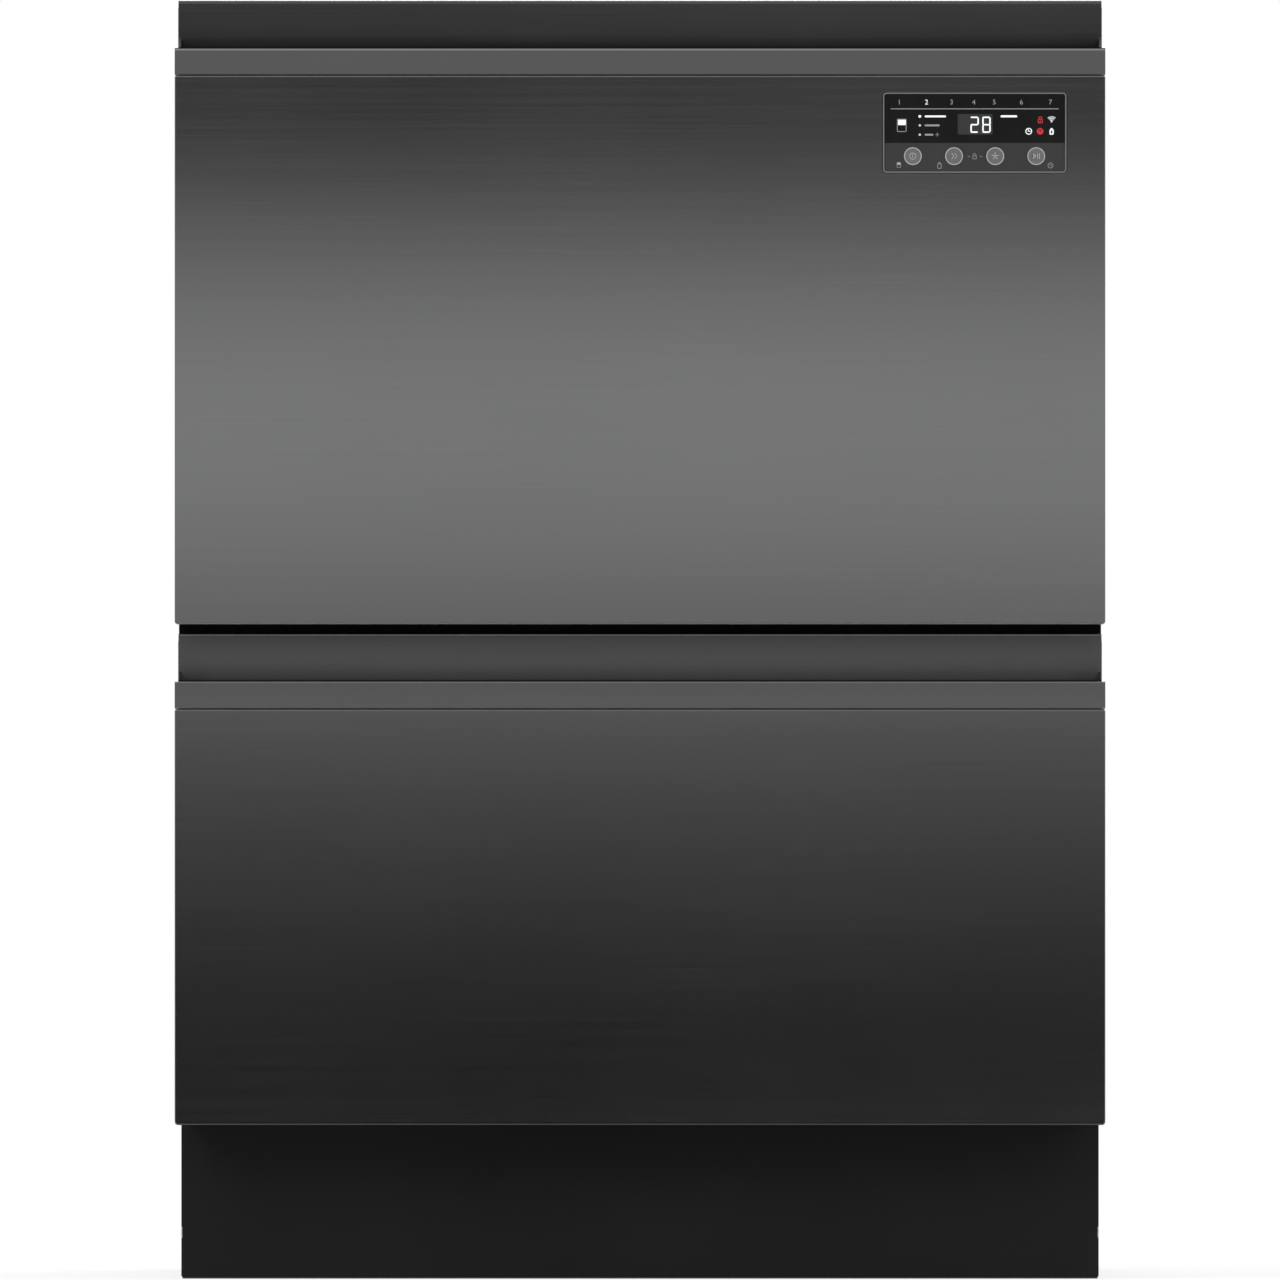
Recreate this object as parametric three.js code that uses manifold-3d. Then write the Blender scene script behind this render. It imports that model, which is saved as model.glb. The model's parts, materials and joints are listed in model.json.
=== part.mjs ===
// A built-in dishwasher with two drawers: each drawer slides out on three-part telescopic runners,
// holds its own tub, wash motor, spray arm, filter, rack and detergent dispenser, and closes under a
// lid that comes down on the tub's rim. The cabinet stands on four screw feet behind a toe kick.
// Millimetres. X runs across, -Y is the front, +Z is up; the origin lies on the floor under the middle.
import * as THREE from "three";
import { mergeVertices } from "three/addons/utils/BufferGeometryUtils.js";
import Module from "manifold-3d";

const wasm = await Module();
wasm.setup();

// ---------------------------------------------------------------- overall sizes
const WIDTH = 599; // across the drawer fronts
const DEPTH = 573; // from the control bezel to the rear panel
const HEIGHT = 823.5; // to the top of the upper drawer front, feet screwed in
const FIT = 0.3; // gap between pieces that rest on each other
const SHEET = 1; // cabinet and front sheet steel
const WALL = 3; // moulded plastic walls
const OVER = 1; // how far a cutting tool runs past the face that it opens

// ---------------------------------------------------------------- cabinet
const CABINET_INSET = 4.5; // sides of the cabinet behind the ends of the fronts
const CABINET_DROP = 2.5; // top panel under the top of the upper front
const BASE_HEIGHT = 14; // underside of the base tray
const GASKET_GAP = 2.7; // from a closed front's liner to the cabinet's front edges
const FLANGE = 10;
const FLANGE_SETBACK = 30; // top flanges of the sides behind the cabinet's front
const HEM = 1.8; // how far the front edges of the sides turn in
const SIDE_BEAD = { depth: 3, width: 16, pitch: 140, count: 3, rise: 49, drop: 29 };
const TOP_BEAD = { depth: 1.5, width: 24, pitch: 150, margin: 50 };
const REAR_BEAD = { depth: 4, width: 32, pitch: 140, low: 150, drop: 60 };
const DRAIN_HOLE = { inset: 94, radius: 17 }; // in from the left side
const LEAD_HOLE = { inset: 154, radius: 8 };
const BRACE_RISE = 36; // top of the centre brace over the bottom of the upper front
const BRACE_REACH = 28; // back from the cabinet's front
const BRACE_LIP = 7;
const BRACE_GAP = 1.2; // over the rim of the lower tub
const KICK_INSET = 3.8; // ends of the toe kick behind the ends of the fronts
const KICK_SETBACK = 56; // toe kick behind the drawer fronts
const KICK_TOP = 102;
const KICK_FLOOR_GAP = 1;
const KICK_RETURN = 16;
const KICK_PLAY = 0.5; // between the toe kick and the flanges behind it
const KICK_CLEARANCE = 2; // what lies over the toe kick clears it by this much
const TRAY_FLOOR = 2;
const TRAY_WALL = 26;
const TRAY_CLEARANCE = 5; // what stands over the tray's wall clears it by this much
const TRAY_SETBACK = 20; // front of the base tray behind the toe kick

// ---------------------------------------------------------------- feet
const FOOT_RADIUS = 19;
const FOOT_PAD = 7;
const STEM_RADIUS = 6;
const STEM_SIDES = 10;
const FOOT_TRAVEL = 60;
const FOOT_BOSS = 18; // length of thread in the tray's boss
const FOOT_BOSS_RADIUS = 13;
const FOOT_INSET_X = 33; // in from the cabinet's side
const FOOT_INSET_FRONT = 24; // in from the front of the tray
const FOOT_INSET_REAR = 46; // in from the rear panel

// ---------------------------------------------------------------- drawer fronts
const BEZEL_PROUD = 0.4;
const PAN_DEPTH = 23.6; // how far the front skin's edges turn back
const CORNER = 2.2;
const TOP_CORNER = 1.2;
const EDGE_ROUND = 0.8;
const HANDLE_HEIGHT = 47.8;
const HANDLE_INSET = 2.25; // ends of the finger channel behind the ends of the fronts
const HANDLE_SHEET = 1.6;
const LIP_HEIGHT = 17.1;
const LIP_LEAN = 3;
const LIP_RETURN = 10;
const CHANNEL_DROP = 14; // bottom of the finger channel under the top of the lip
const SEAM = 0.9;
const DRAWER_GAP = 6;
const RIM_UNDER_LOWER_FRONT = 3.7;
const LOWER_FRONT_UNDER_KICK = 2.5; // how far the lower front hangs below the toe kick's top
const LINER_SHEET = 1.5;
const LINER_MARGIN = 2;
const LINER_CORNER = 3;
const PLUG_DEPTH = 10.7; // raised middle of the liner
const PLUG_MARGIN = 1; // how far the raised middle reaches past the tub's rim
const PLUG_INSET = 8; // edge of the raised middle inside the tub's height
const PLUG_CORNER = 18;

// ---------------------------------------------------------------- control panel
const FASCIA_WIDTH = 118.2;
const FASCIA_HEIGHT = 51.7;
const FASCIA_CENTRE_X = 215.4;
const FASCIA_DROP = 36.6; // middle of the fascia under the top of the skin
const FASCIA_CORNER = 2.5;
const INNER_CORNER = 0.5;
const FASCIA_PLATE = 3;
const FASCIA_BOX = 16; // depth of the housing behind the plate
const BEZEL = 0.9;
const WINDOW_RECESS = 0.6; // face of the window behind the bezel
const BUTTON_RADIUS = 5.75;
const BUTTON_SIDES = 12;
const BUTTON_LENGTH = 7;
const BUTTON_FLANGE = 1.4; // how far the flange stands out, behind the plate
const BUTTON_DISH = 0.4;
const BUTTON_DROP = 15.1; // row of buttons under the middle of the fascia
const BUTTON_OFFSETS = { power: -39.8, program: -13.3, option: 13.2, start: 39.6 };

// ---------------------------------------------------------------- tub
const BAY_GAP = 21.4; // from the raised lower lid to the underside of the upper drawer
const REAR_SPACE = 36.5; // behind the tubs' rims, for the hoses
const RIM_SETBACK = 3.7; // front wall of the tub behind the front of its rim
const LEDGE_WIDTH = 11.4; // how far the runners' rail stands out from the tub
const TUB_CORNER = 42;
const TUB_CORNER_STEPS = 3;
const SUMP_SIDES = 16;
const TUB_WALL = 4;
const TUB_DRAFT = 6; // each wall leans in by this much towards the floor
const TUB_UNDERSIDE = 34;
const FLOOR_RISE = 8; // the floor climbs from the sump to the corners
const RIM_OVERHANG = 9;
const RIM_THICKNESS = 5;
const RIM_SKIRT = 9;
const RIM_WALL = 2.5;
const RIM_CORNER = 48;
const SUMP_RADIUS = 104;
const SUMP_LEDGE = 6; // shelf that carries the filter plate
const SUMP_BOTTOM = 22.5;
const SUMP_SLOPE = 14; // how far the sump's wall leans in
const LEDGE_HEIGHT = 46; // moulded rail that carries the inner runner
const LEDGE_POCKETS = 3;
const LEDGE_INSET = 14; // ends of the rail inside the ends of the tub
const LEDGE_SKIN = 0.5;
const TUB_FLOOR = TUB_UNDERSIDE + TUB_WALL;

// ---------------------------------------------------------------- runners
const RUNNER_REAR_GAP = 44.7; // from the inner runner to the rear panel
const RUNNER_HEIGHT = 45;
const RUNNER_SHEET = 1.5;
const RUNNER_FLANGE = 11.5;
const RUNNER_PLAY = 0.4;
const RUNNER_CENTRE = 85; // above the tub's bottom
const RUNNER_STAGGER = 1; // each member starts a little behind the one inside it
const INNER_FLANGE = 10.2;

// ---------------------------------------------------------------- lids and their lifters
const LID_THICKNESS = 24;
const LID_REST = 2.3; // lid above the rim, filled by the rubber seal
const LID_TRAVEL = 10;
const LID_HEADROOM = 6;
const LID_SIDE_GAP = 1; // lid edge inside the edge of the tub's rim
const LID_FRONT_GAP = 6;
const LID_SKIRT = 5;
const LID_RIB = { height: 2.5, width: 3, spread: 110, margin: 30 };
const LID_PIN_RADIUS = 4;
const LID_PIN_INSET = 96; // from the ends of the lid
const LIFTER_OVERRUN = 40; // plate past the lid's pins
const LIFTER_CHEEK = 22;
const LIFTER_MOTOR = 90;
const LIFTER_REACH = 12.4; // in from the cabinet's side
const LIFTER_PLATE = 3;
const LIFTER_RIM = 5; // around the slots for the pins

// ---------------------------------------------------------------- wash system
const MOTOR_RADIUS = 92;
const MOTOR_RIBS = 5;
const MOTOR_FLARE = 34; // how far the motor widens from its foot
const PUMP_RADIUS = 24;
const OUTLET_RADIUS = 8;
const OUTLET_LENGTH = 26;
const PLATE_THICKNESS = 4;
const PLATE_GAP = 2.2; // edge of the plate inside the sump's shelf
const PLATE_SLOTS = 8;
const PLATE_SLOT = { start: 12, end: 34, width: 3.2 };
const PLATE_BOSS_RADIUS = 20;
const PLATE_BOSS = 3.7;
const SPINDLE_RADIUS = 8;
const SPINDLE_HEIGHT = 15;
const DRAIN_FILTER_RADIUS = 22;
const DRAIN_FILTER_OFFSET = 80;
const ARM_REACH = 205;
const ARM_WIDTH = 34;
const ARM_THICKNESS = 11;
const ARM_LIFT = 4.5; // blades above the foot of the hub
const ARM_HUB_RADIUS = 19;
const ARM_CAP = 4;
const ARM_TIP = 10;
const ARM_JETS = 3;
const ARM_JET = { first: 50, pitch: 65, length: 10, width: 3, depth: 4, sweep: 12 };

// ---------------------------------------------------------------- racks and baskets
const WIRE = 2.2;
const FINE_WIRE = 1.8;
const RAIL_WIRE = 2.6;
const TINE_WIRE = 1.5;
const ROD_SIDES = 8;
const RAIL_CORNER = 20;
const WIRE_BITE = 0.8; // how far crossing wires are welded into each other
const RACK_GAP = 19; // from the top of the tub's wall to the middle of the rack's rail
const RACK_BASE = 70;
const RACK_WALL = 45;
const RACK_BEND = 9;
const CROSS_WIRES = 6;
const CROSS_INSET = 30; // outermost cross wires from the ends of the rack
const LONG_WIRES = 5;
const LONG_INSET = 45; // outermost long wires from the sides of the rack
const LEG_CLEARANCE = 0.4; // at the middle of a leg, on the sloping floor
const TINE_HEIGHT = 78;
const FIXED_TINES_IN = 80; // rows of tines from the left side of the rack
const FOLDING_TINES_IN = 170;
const CLIP_WIDTH = 11;
const CLIP_LENGTH = 8;
const CUP_RACK_DROP = 126; // cup rack under the tub's rim
const CUP_RACK_REACH = 105;
const CUP_POST = 10; // height of the clips on the posts
const CUP_DIP = { length: 17, depth: 5 }; // where the stem of a glass hangs in
const BASKET = {
  sideGap: 170,
  frontGap: 13,
  width: 88,
  length: 200,
  height: 104,
  handle: 134,
  wall: 2,
  corner: 8,
};
const BASKET_SLOT = 16;
const BASKET_PITCH = 24;
const BASKET_BAR = 8;
const BASKET_DIP = 20; // dividers under the top of the basket
const GRIP = 8; // thickness of the carrying handle
const GRIP_WIDTH = 12;

// ---------------------------------------------------------------- detergent dispenser
const DISPENSER_WIDTH = 132;
const DISPENSER_HEIGHT = 64;
const DISPENSER_DROP = 16; // top of the dispenser under the tub's rim
const DISPENSER_PROUD = 16; // into the tub from the rim's inner edge
const DISPENSER_CORNER = 8;
const CUP_CORNER = 6;
const CUP_WIDTH = 74;
const CUP_HEIGHT = 50;
const CUP_OFFSET = -20;
const CUP_DEPTH = 19;
const DOOR_THICKNESS = 3;
const DOOR_MARGIN = 3;
const DOOR_LATCH = { reach: 9, height: 8, proud: 3, drop: 4 };

// ---------------------------------------------------------------- base machinery
const MODULE = {
  inset: 89,
  width: 220,
  length: 100,
  height: 54,
  setback: 12,
  cover: 14,
  lip: 2,
  corner: 6,
  margin: 20,
  slots: 4,
  slotPitch: 12,
  slotWidth: 5,
  sockets: 3,
  socketPitch: 28,
  socket: 16,
  socketDepth: 8,
};
const VALVE = {
  inset: 94,
  z: 58,
  radius: 15,
  length: 42,
  setback: 6,
  thread: 13.2,
  bore: 8,
  flange: 20,
  coil: 12.5,
  window: 34,
};

// ---------------------------------------------------------------- places that follow from the sizes
const cabinetHalf = WIDTH / 2 - CABINET_INSET;
const sideInnerX = cabinetHalf - SHEET;
const insideX = sideInnerX - FIT;
const runnerWebX = insideX - RUNNER_SHEET;
const middleWebX = runnerWebX - RUNNER_PLAY;
const middleFlangeX = insideX - RUNNER_FLANGE - RUNNER_PLAY;
const innerFlangeX = middleWebX - RUNNER_SHEET - RUNNER_PLAY;
const innerWebX = innerFlangeX - INNER_FLANGE;
const ledgeX = innerWebX - FIT;
const tubHalfWidth = ledgeX - LEDGE_WIDTH;
const rimHalfWidth = tubHalfWidth + RIM_OVERHANG;
const plugHalfWidth = rimHalfWidth + PLUG_MARGIN;
const handleHalf = WIDTH / 2 - HANDLE_INSET;
const valveX = sideInnerX - VALVE.inset;

const frontY = -DEPTH / 2;
const backY = DEPTH / 2;
const skinY = frontY + BEZEL_PROUD;
const panBackY = skinY + PAN_DEPTH;
const linerFrontY = panBackY + FIT;
const cabinetFrontY = linerFrontY + LINER_SHEET + GASKET_GAP;
const plugBackY = linerFrontY + LINER_SHEET + PLUG_DEPTH;
const rimFrontY = plugBackY + FIT;
const rearInnerY = backY - SHEET;
const rimBackY = rearInnerY - REAR_SPACE;
const tubFrontY = rimFrontY + RIM_SETBACK;
const tubBackY = rimBackY - RIM_OVERHANG;
const tubMiddleY = (tubFrontY + tubBackY) / 2;
const tubHalfLength = (tubBackY - tubFrontY) / 2;
const kickY = frontY + KICK_SETBACK;
const trayFrontY = kickY + TRAY_SETBACK;

const cabinetTop = HEIGHT - CABINET_DROP;
const lidStack = LID_REST + LID_THICKNESS + LID_TRAVEL;
const lowerTubZ = KICK_TOP + KICK_CLEARANCE;
const upperRimZ = cabinetTop - SHEET - LID_HEADROOM - lidStack;
const tubHeight = (upperRimZ - lowerTubZ - lidStack - BAY_GAP) / 2;
const upperTubZ = upperRimZ - tubHeight;
const lowerFrontTop = lowerTubZ + tubHeight + RIM_UNDER_LOWER_FRONT;
const upperFrontBottom = lowerFrontTop + DRAWER_GAP;
const lowerFrontBottom = KICK_TOP - LOWER_FRONT_UNDER_KICK;
const trayFloorZ = BASE_HEIGHT + TRAY_FLOOR;
const dispenserTop = tubHeight - DISPENSER_DROP;
const dispenserZs = [dispenserTop - DISPENSER_HEIGHT, dispenserTop];

// ---------------------------------------------------------------- finishes
function finish(color, roughness, metalness) {
  return new THREE.MeshStandardMaterial({ color, roughness, metalness });
}

const blackSteel = finish(0x5c5f5e, 0.34, 1);
const galvanised = finish(0x9a9fa1, 0.5, 1);
const zincSteel = finish(0xa9adae, 0.35, 1);
const blackPaint = finish(0x1b1c1c, 0.55, 0);
const linerGrey = finish(0x4a4d4e, 0.6, 0);
const tubGrey = finish(0xb4b8ba, 0.45, 0);
const lidGrey = finish(0x8b8f91, 0.5, 0);
const rackGrey = finish(0x6f7579, 0.45, 0);
const basketGrey = finish(0x7d8387, 0.5, 0);
const armGrey = finish(0x9aa0a4, 0.4, 0);
const filterGrey = finish(0x54595c, 0.5, 0);
const motorBlack = finish(0x2a2c2d, 0.6, 0);
const fasciaBlack = finish(0x141515, 0.15, 0);
const buttonGrey = finish(0x77797a, 0.4, 0);
const valveWhite = finish(0xd9dad6, 0.5, 0);

// ================================================================ solids from three.js geometry
function toSolid(geometry) {
  const bare = geometry.index ? geometry.toNonIndexed() : geometry.clone();
  bare.deleteAttribute("normal");
  bare.deleteAttribute("uv");
  const merged = mergeVertices(bare, 1e-4);
  const vertProperties = new Float32Array(merged.attributes.position.array);
  const corners = (i) => Array.from(merged.index.array.slice(3 * i, 3 * i + 3));
  const whole = (triangle) => new Set(triangle).size === 3;
  const triVerts = new Uint32Array(range(merged.index.count / 3).map(corners).filter(whole).flat());
  const solid = new wasm.Manifold(new wasm.Mesh({ numProp: 3, vertProperties, triVerts }));
  if (solid.volume() > 0) return solid;
  for (let i = 0; i < triVerts.length; i += 3) {
    [triVerts[i + 1], triVerts[i + 2]] = [triVerts[i + 2], triVerts[i + 1]];
  }
  return new wasm.Manifold(new wasm.Mesh({ numProp: 3, vertProperties, triVerts }));
}

const join = (...solids) => solids.flat().reduce((a, b) => a.add(b));
const cut = (solid, ...tools) => tools.flat().reduce((a, b) => a.subtract(b), solid);
const inset = (limits, by) => [limits[0] + by, limits[1] - by];
const range = (count) => Array.from({ length: count }, (_, i) => i);
const mirrorX = (solid) => solid.mirror([1, 0, 0]);

// A box given by its limits along X, Y and Z, in either order.
function box(xs, ys, zs) {
  const size = [xs, ys, zs].map(([a, b]) => Math.abs(b - a));
  const middle = [xs, ys, zs].map(([a, b]) => (a + b) / 2);
  return toSolid(new THREE.BoxGeometry(...size).translate(...middle));
}

// A rectangle with rounded corners; radii run from the low-low corner anticlockwise.
function roundedRect([u0, u1], [v0, v1], radii) {
  const [a, b, c, d] = Array.isArray(radii) ? radii : [radii, radii, radii, radii];
  const shape = new THREE.Shape();
  shape.moveTo(u0 + a, v0);
  shape.lineTo(u1 - b, v0);
  if (b) shape.absarc(u1 - b, v0 + b, b, -Math.PI / 2, 0);
  shape.lineTo(u1, v1 - c);
  if (c) shape.absarc(u1 - c, v1 - c, c, 0, Math.PI / 2);
  shape.lineTo(u0 + d, v1);
  if (d) shape.absarc(u0 + d, v1 - d, d, Math.PI / 2, Math.PI);
  shape.lineTo(u0, v0 + a);
  if (a) shape.absarc(u0 + a, v0 + a, a, Math.PI, 1.5 * Math.PI);
  return shape;
}

function polygon(points) {
  return new THREE.Shape(points.map(([u, v]) => new THREE.Vector2(u, v)));
}

// The same outline as plain points, each of them once.
function traced(shape, curveSegments) {
  const points = shape.getPoints(curveSegments);
  const apart = points.filter((p, i) => p.distanceTo(points[(i + 1) % points.length]) > 1e-4);
  return new THREE.Shape(apart);
}

// Extrusions of a shape drawn in XY, in YZ or in XZ.
function prismZ(shape, [z0, z1], curveSegments = 5) {
  const settings = { depth: z1 - z0, bevelEnabled: false };
  return toSolid(new THREE.ExtrudeGeometry(traced(shape, curveSegments), settings).translate(0, 0, z0));
}

function prismX(shape, [x0, x1], curveSegments = 5) {
  const turn = new THREE.Matrix4().set(0, 0, 1, x0, 1, 0, 0, 0, 0, 1, 0, 0, 0, 0, 0, 1);
  const settings = { depth: x1 - x0, bevelEnabled: false };
  return toSolid(new THREE.ExtrudeGeometry(traced(shape, curveSegments), settings).applyMatrix4(turn));
}

function prismY(shape, [y0, y1], curveSegments = 5, bevel = 0) {
  const turn = new THREE.Matrix4().set(1, 0, 0, 0, 0, 0, -1, y1, 0, 1, 0, 0, 0, 0, 0, 1);
  const rounding = { bevelThickness: bevel, bevelSize: bevel, bevelOffset: -bevel, bevelSegments: 2 };
  const settings = { depth: y1 - y0 - bevel, bevelEnabled: bevel > 0, ...rounding };
  return toSolid(new THREE.ExtrudeGeometry(traced(shape, curveSegments), settings).applyMatrix4(turn));
}

// Round bars along each axis, and a turned piece about a vertical axis.
function barZ(x, y, radius, [z0, z1], sides = 20) {
  const bar = new THREE.CylinderGeometry(radius, radius, z1 - z0, sides).rotateX(Math.PI / 2);
  return toSolid(bar.translate(x, y, (z0 + z1) / 2));
}

function barY(x, z, radius, [y0, y1], sides = 20) {
  return toSolid(new THREE.CylinderGeometry(radius, radius, y1 - y0, sides).translate(x, (y0 + y1) / 2, z));
}

function barX(y, z, radius, [x0, x1], sides = 16) {
  const bar = new THREE.CylinderGeometry(radius, radius, Math.abs(x1 - x0), sides).rotateZ(Math.PI / 2);
  return toSolid(bar.translate((x0 + x1) / 2, y, z));
}

function turned(profile, segments = 32) {
  const points = profile.map(([r, z]) => new THREE.Vector2(r, z));
  return toSolid(new THREE.LatheGeometry(points, segments).rotateX(Math.PI / 2));
}

// A wire bent through a list of points, one ring of its section at each. The section is kept square.
class BentWire extends THREE.Curve {
  constructor(points) {
    super();
    this.points = points.map((p) => new THREE.Vector3(...p));
  }

  indexAt(t) {
    return Math.round(t * (this.points.length - 1));
  }

  getPointAt(t) {
    return this.points[this.indexAt(t)].clone();
  }

  getTangentAt(t, target = new THREE.Vector3()) {
    const i = this.indexAt(t);
    const before = this.points[Math.max(i - 1, 0)];
    const after = this.points[Math.min(i + 1, this.points.length - 1)];
    return target.subVectors(after, before).normalize();
  }
}

function wire(points, radius = WIRE) {
  const section = polygon([[-radius, -radius], [radius, -radius], [radius, radius], [-radius, radius]]);
  const extrudePath = new BentWire(points);
  return toSolid(new THREE.ExtrudeGeometry(section, { extrudePath, steps: points.length - 1 }));
}

function meshOf(name, solid, material) {
  const { numProp, numVert, vertProperties, triVerts } = solid.getMesh();
  const position = new Float32Array(numVert * 3);
  for (let i = 0; i < numVert; i++) {
    position.set(vertProperties.subarray(i * numProp, i * numProp + 3), i * 3);
  }
  const geometry = new THREE.BufferGeometry();
  geometry.setAttribute("position", new THREE.BufferAttribute(position, 3));
  geometry.setIndex(new THREE.BufferAttribute(triVerts, 1));
  const flat = geometry.toNonIndexed();
  flat.computeVertexNormals();
  const mesh = new THREE.Mesh(flat, material);
  mesh.name = name;
  return mesh;
}

// ================================================================ cabinet
// Pressed stiffening bead of the right-hand side: a rib inside, its groove outside.
function sideBead(y, [z0, z1]) {
  const outline = (inset) => {
    const half = SIDE_BEAD.width / 2 - inset;
    return roundedRect([y - half, y + half], [z0 + inset, z1 - inset], 0);
  };
  const deep = sideInnerX - SIDE_BEAD.depth;
  return {
    rib: prismX(outline(0), [deep, sideInnerX]),
    groove: prismX(outline(SHEET), [deep + SHEET, cabinetHalf + OVER]),
  };
}

// Right-hand side: a sheet with a toe notch, turned in along its front, top and rear.
function sidePanel() {
  const footY = kickY + SHEET + KICK_PLAY;
  const backEdge = rearInnerY - FIT;
  const top = cabinetTop - SHEET - FIT;
  const notch = KICK_TOP + KICK_CLEARANCE;
  const outline = polygon([
    [footY, BASE_HEIGHT],
    [backEdge, BASE_HEIGHT],
    [backEdge, top],
    [cabinetFrontY, top],
    [cabinetFrontY, notch],
    [footY, notch],
  ]);
  const flangeX = [sideInnerX - FLANGE, cabinetHalf];
  const overTray = BASE_HEIGHT + TRAY_WALL + TRAY_CLEARANCE;
  const parts = [
    prismX(outline, [sideInnerX, cabinetHalf]),
    box([sideInnerX - HEM, cabinetHalf], [cabinetFrontY, cabinetFrontY + SHEET], [notch, top]),
    box(flangeX, [footY, footY + SHEET], [overTray, KICK_TOP - SHEET - KICK_CLEARANCE]),
    box(flangeX, [backEdge - SHEET, backEdge], [overTray, top]),
    box(flangeX, [cabinetFrontY + FLANGE_SETBACK, backEdge], [top - SHEET, top]),
  ];
  const rows = [lowerTubZ, upperTubZ].map((z) => {
    return [z + RUNNER_CENTRE + SIDE_BEAD.rise, z + tubHeight - SIDE_BEAD.drop];
  });
  const beadYs = range(SIDE_BEAD.count).map((i) => (i - (SIDE_BEAD.count - 1) / 2) * SIDE_BEAD.pitch);
  const beads = rows.flatMap((zs) => beadYs.map((y) => sideBead(y, zs)));
  return cut(join(parts, beads.map((b) => b.rib)), beads.map((b) => b.groove));
}

// Top panel: a sheet with a turned-down front edge and long grooves pressed into it.
function topPanel() {
  const [bottom, top] = [cabinetTop - SHEET, cabinetTop];
  const ys = [cabinetFrontY, rearInnerY - FIT];
  const half = cabinetHalf - SHEET - HEM - OVER;
  const { depth, width, pitch, margin } = TOP_BEAD;
  const bead = (x, inset, zs) => {
    const reach = width / 2 - inset;
    return box([x - reach, x + reach], [ys[0] + margin + inset, ys[1] - margin - inset], zs);
  };
  const xs = [-pitch, 0, pitch];
  const ribs = xs.map((x) => bead(x, 0, [bottom - depth, bottom]));
  const grooves = xs.map((x) => bead(x, SHEET, [top - depth, top + OVER]));
  const front = box([-half, half], [ys[0], ys[0] + SHEET], [top - FLANGE, top]);
  const sheet = box([-cabinetHalf, cabinetHalf], ys, [bottom, top]);
  return cut(join(sheet, front, ribs), grooves);
}

// Rear panel: pressed grooves, a window for the water inlet, and holes for the drain hose and the lead.
function rearPanel() {
  const through = [rearInnerY - OVER, backY + OVER];
  const sheet = box([-insideX, insideX], [rearInnerY, backY], [BASE_HEIGHT, cabinetTop]);
  const { depth, width, pitch, low, drop } = REAR_BEAD;
  const bead = (x, inset, ys) => {
    const reach = width / 2 - inset;
    return box([x - reach, x + reach], ys, [low + inset, cabinetTop - drop - inset]);
  };
  const xs = [-pitch, 0, pitch];
  const ribs = xs.map((x) => bead(x, 0, [rearInnerY - depth, backY]));
  const grooves = xs.map((x) => bead(x, SHEET, [rearInnerY - depth + SHEET, backY + OVER]));
  const windowXs = [valveX - VALVE.window, valveX + VALVE.window];
  const windowZs = [VALVE.z - VALVE.thread - OVER, VALVE.z + VALVE.window];
  const holes = [
    prismY(roundedRect(windowXs, windowZs, VALVE.bore), through),
    barY(DRAIN_HOLE.inset - sideInnerX, VALVE.z, DRAIN_HOLE.radius, through, 14),
    barY(LEAD_HOLE.inset - sideInnerX, VALVE.z, LEAD_HOLE.radius, through, 10),
  ];
  return cut(join(sheet, ribs), grooves, holes);
}

const footPlaces = {
  front_left: [-1, trayFrontY + FOOT_INSET_FRONT],
  front_right: [1, trayFrontY + FOOT_INSET_FRONT],
  rear_left: [-1, rearInnerY - FOOT_INSET_REAR],
  rear_right: [1, rearInnerY - FOOT_INSET_REAR],
};
const footX = cabinetHalf - FOOT_INSET_X;

// Base tray: catches leaks, and carries the threaded bosses of the feet.
function baseTray() {
  const ys = [trayFrontY, rearInnerY - FIT];
  const top = BASE_HEIGHT + TRAY_WALL;
  const tray = box([-insideX, insideX], ys, [BASE_HEIGHT, top]);
  const inner = insideX - SHEET;
  const inside = box([-inner, inner], [ys[0] + SHEET, ys[1] - SHEET], [trayFloorZ, top + OVER]);
  const places = Object.values(footPlaces);
  const zs = [BASE_HEIGHT + SHEET, BASE_HEIGHT + FOOT_BOSS];
  const bosses = places.map(([side, y]) => barZ(side * footX, y, FOOT_BOSS_RADIUS, zs, STEM_SIDES));
  const halfRib = WALL / 2;
  const ribs = places.map(([side, y]) => box([side * footX, side * inner], [y - halfRib, y + halfRib], zs));
  const bores = places.map(([side, y]) => {
    return barZ(side * footX, y, STEM_RADIUS + FIT, [BASE_HEIGHT - OVER, zs[1] + OVER], STEM_SIDES);
  });
  return cut(join(cut(tray, inside), bosses, ribs), bores);
}

// Black cross member behind the gap between the two drawer fronts.
function centreBrace() {
  const half = handleHalf - FIT;
  const inner = insideX - HEM;
  const faceBack = cabinetFrontY - FIT;
  const lipBack = cabinetFrontY + BRACE_REACH;
  const bottom = lowerTubZ + tubHeight + BRACE_GAP;
  const top = upperFrontBottom + BRACE_RISE;
  return join(
    box([-half, half], [faceBack - SHEET, faceBack], [bottom, top]),
    box([-inner, inner], [faceBack - SHEET, lipBack], [top - SHEET, top]),
    box([-inner, inner], [lipBack - SHEET, lipBack], [top - BRACE_LIP, top]),
  );
}

function toeKick() {
  const half = WIDTH / 2 - KICK_INSET;
  const ys = [kickY, kickY + SHEET];
  return join(
    prismY(roundedRect([-half, half], [KICK_FLOOR_GAP, KICK_TOP], SHEET), ys, 2),
    box([-insideX, insideX], [kickY, kickY + KICK_RETURN], [KICK_TOP - SHEET, KICK_TOP]),
    box([-insideX, insideX], [kickY, kickY + KICK_RETURN], [KICK_FLOOR_GAP, KICK_FLOOR_GAP + SHEET]),
  );
}

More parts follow.
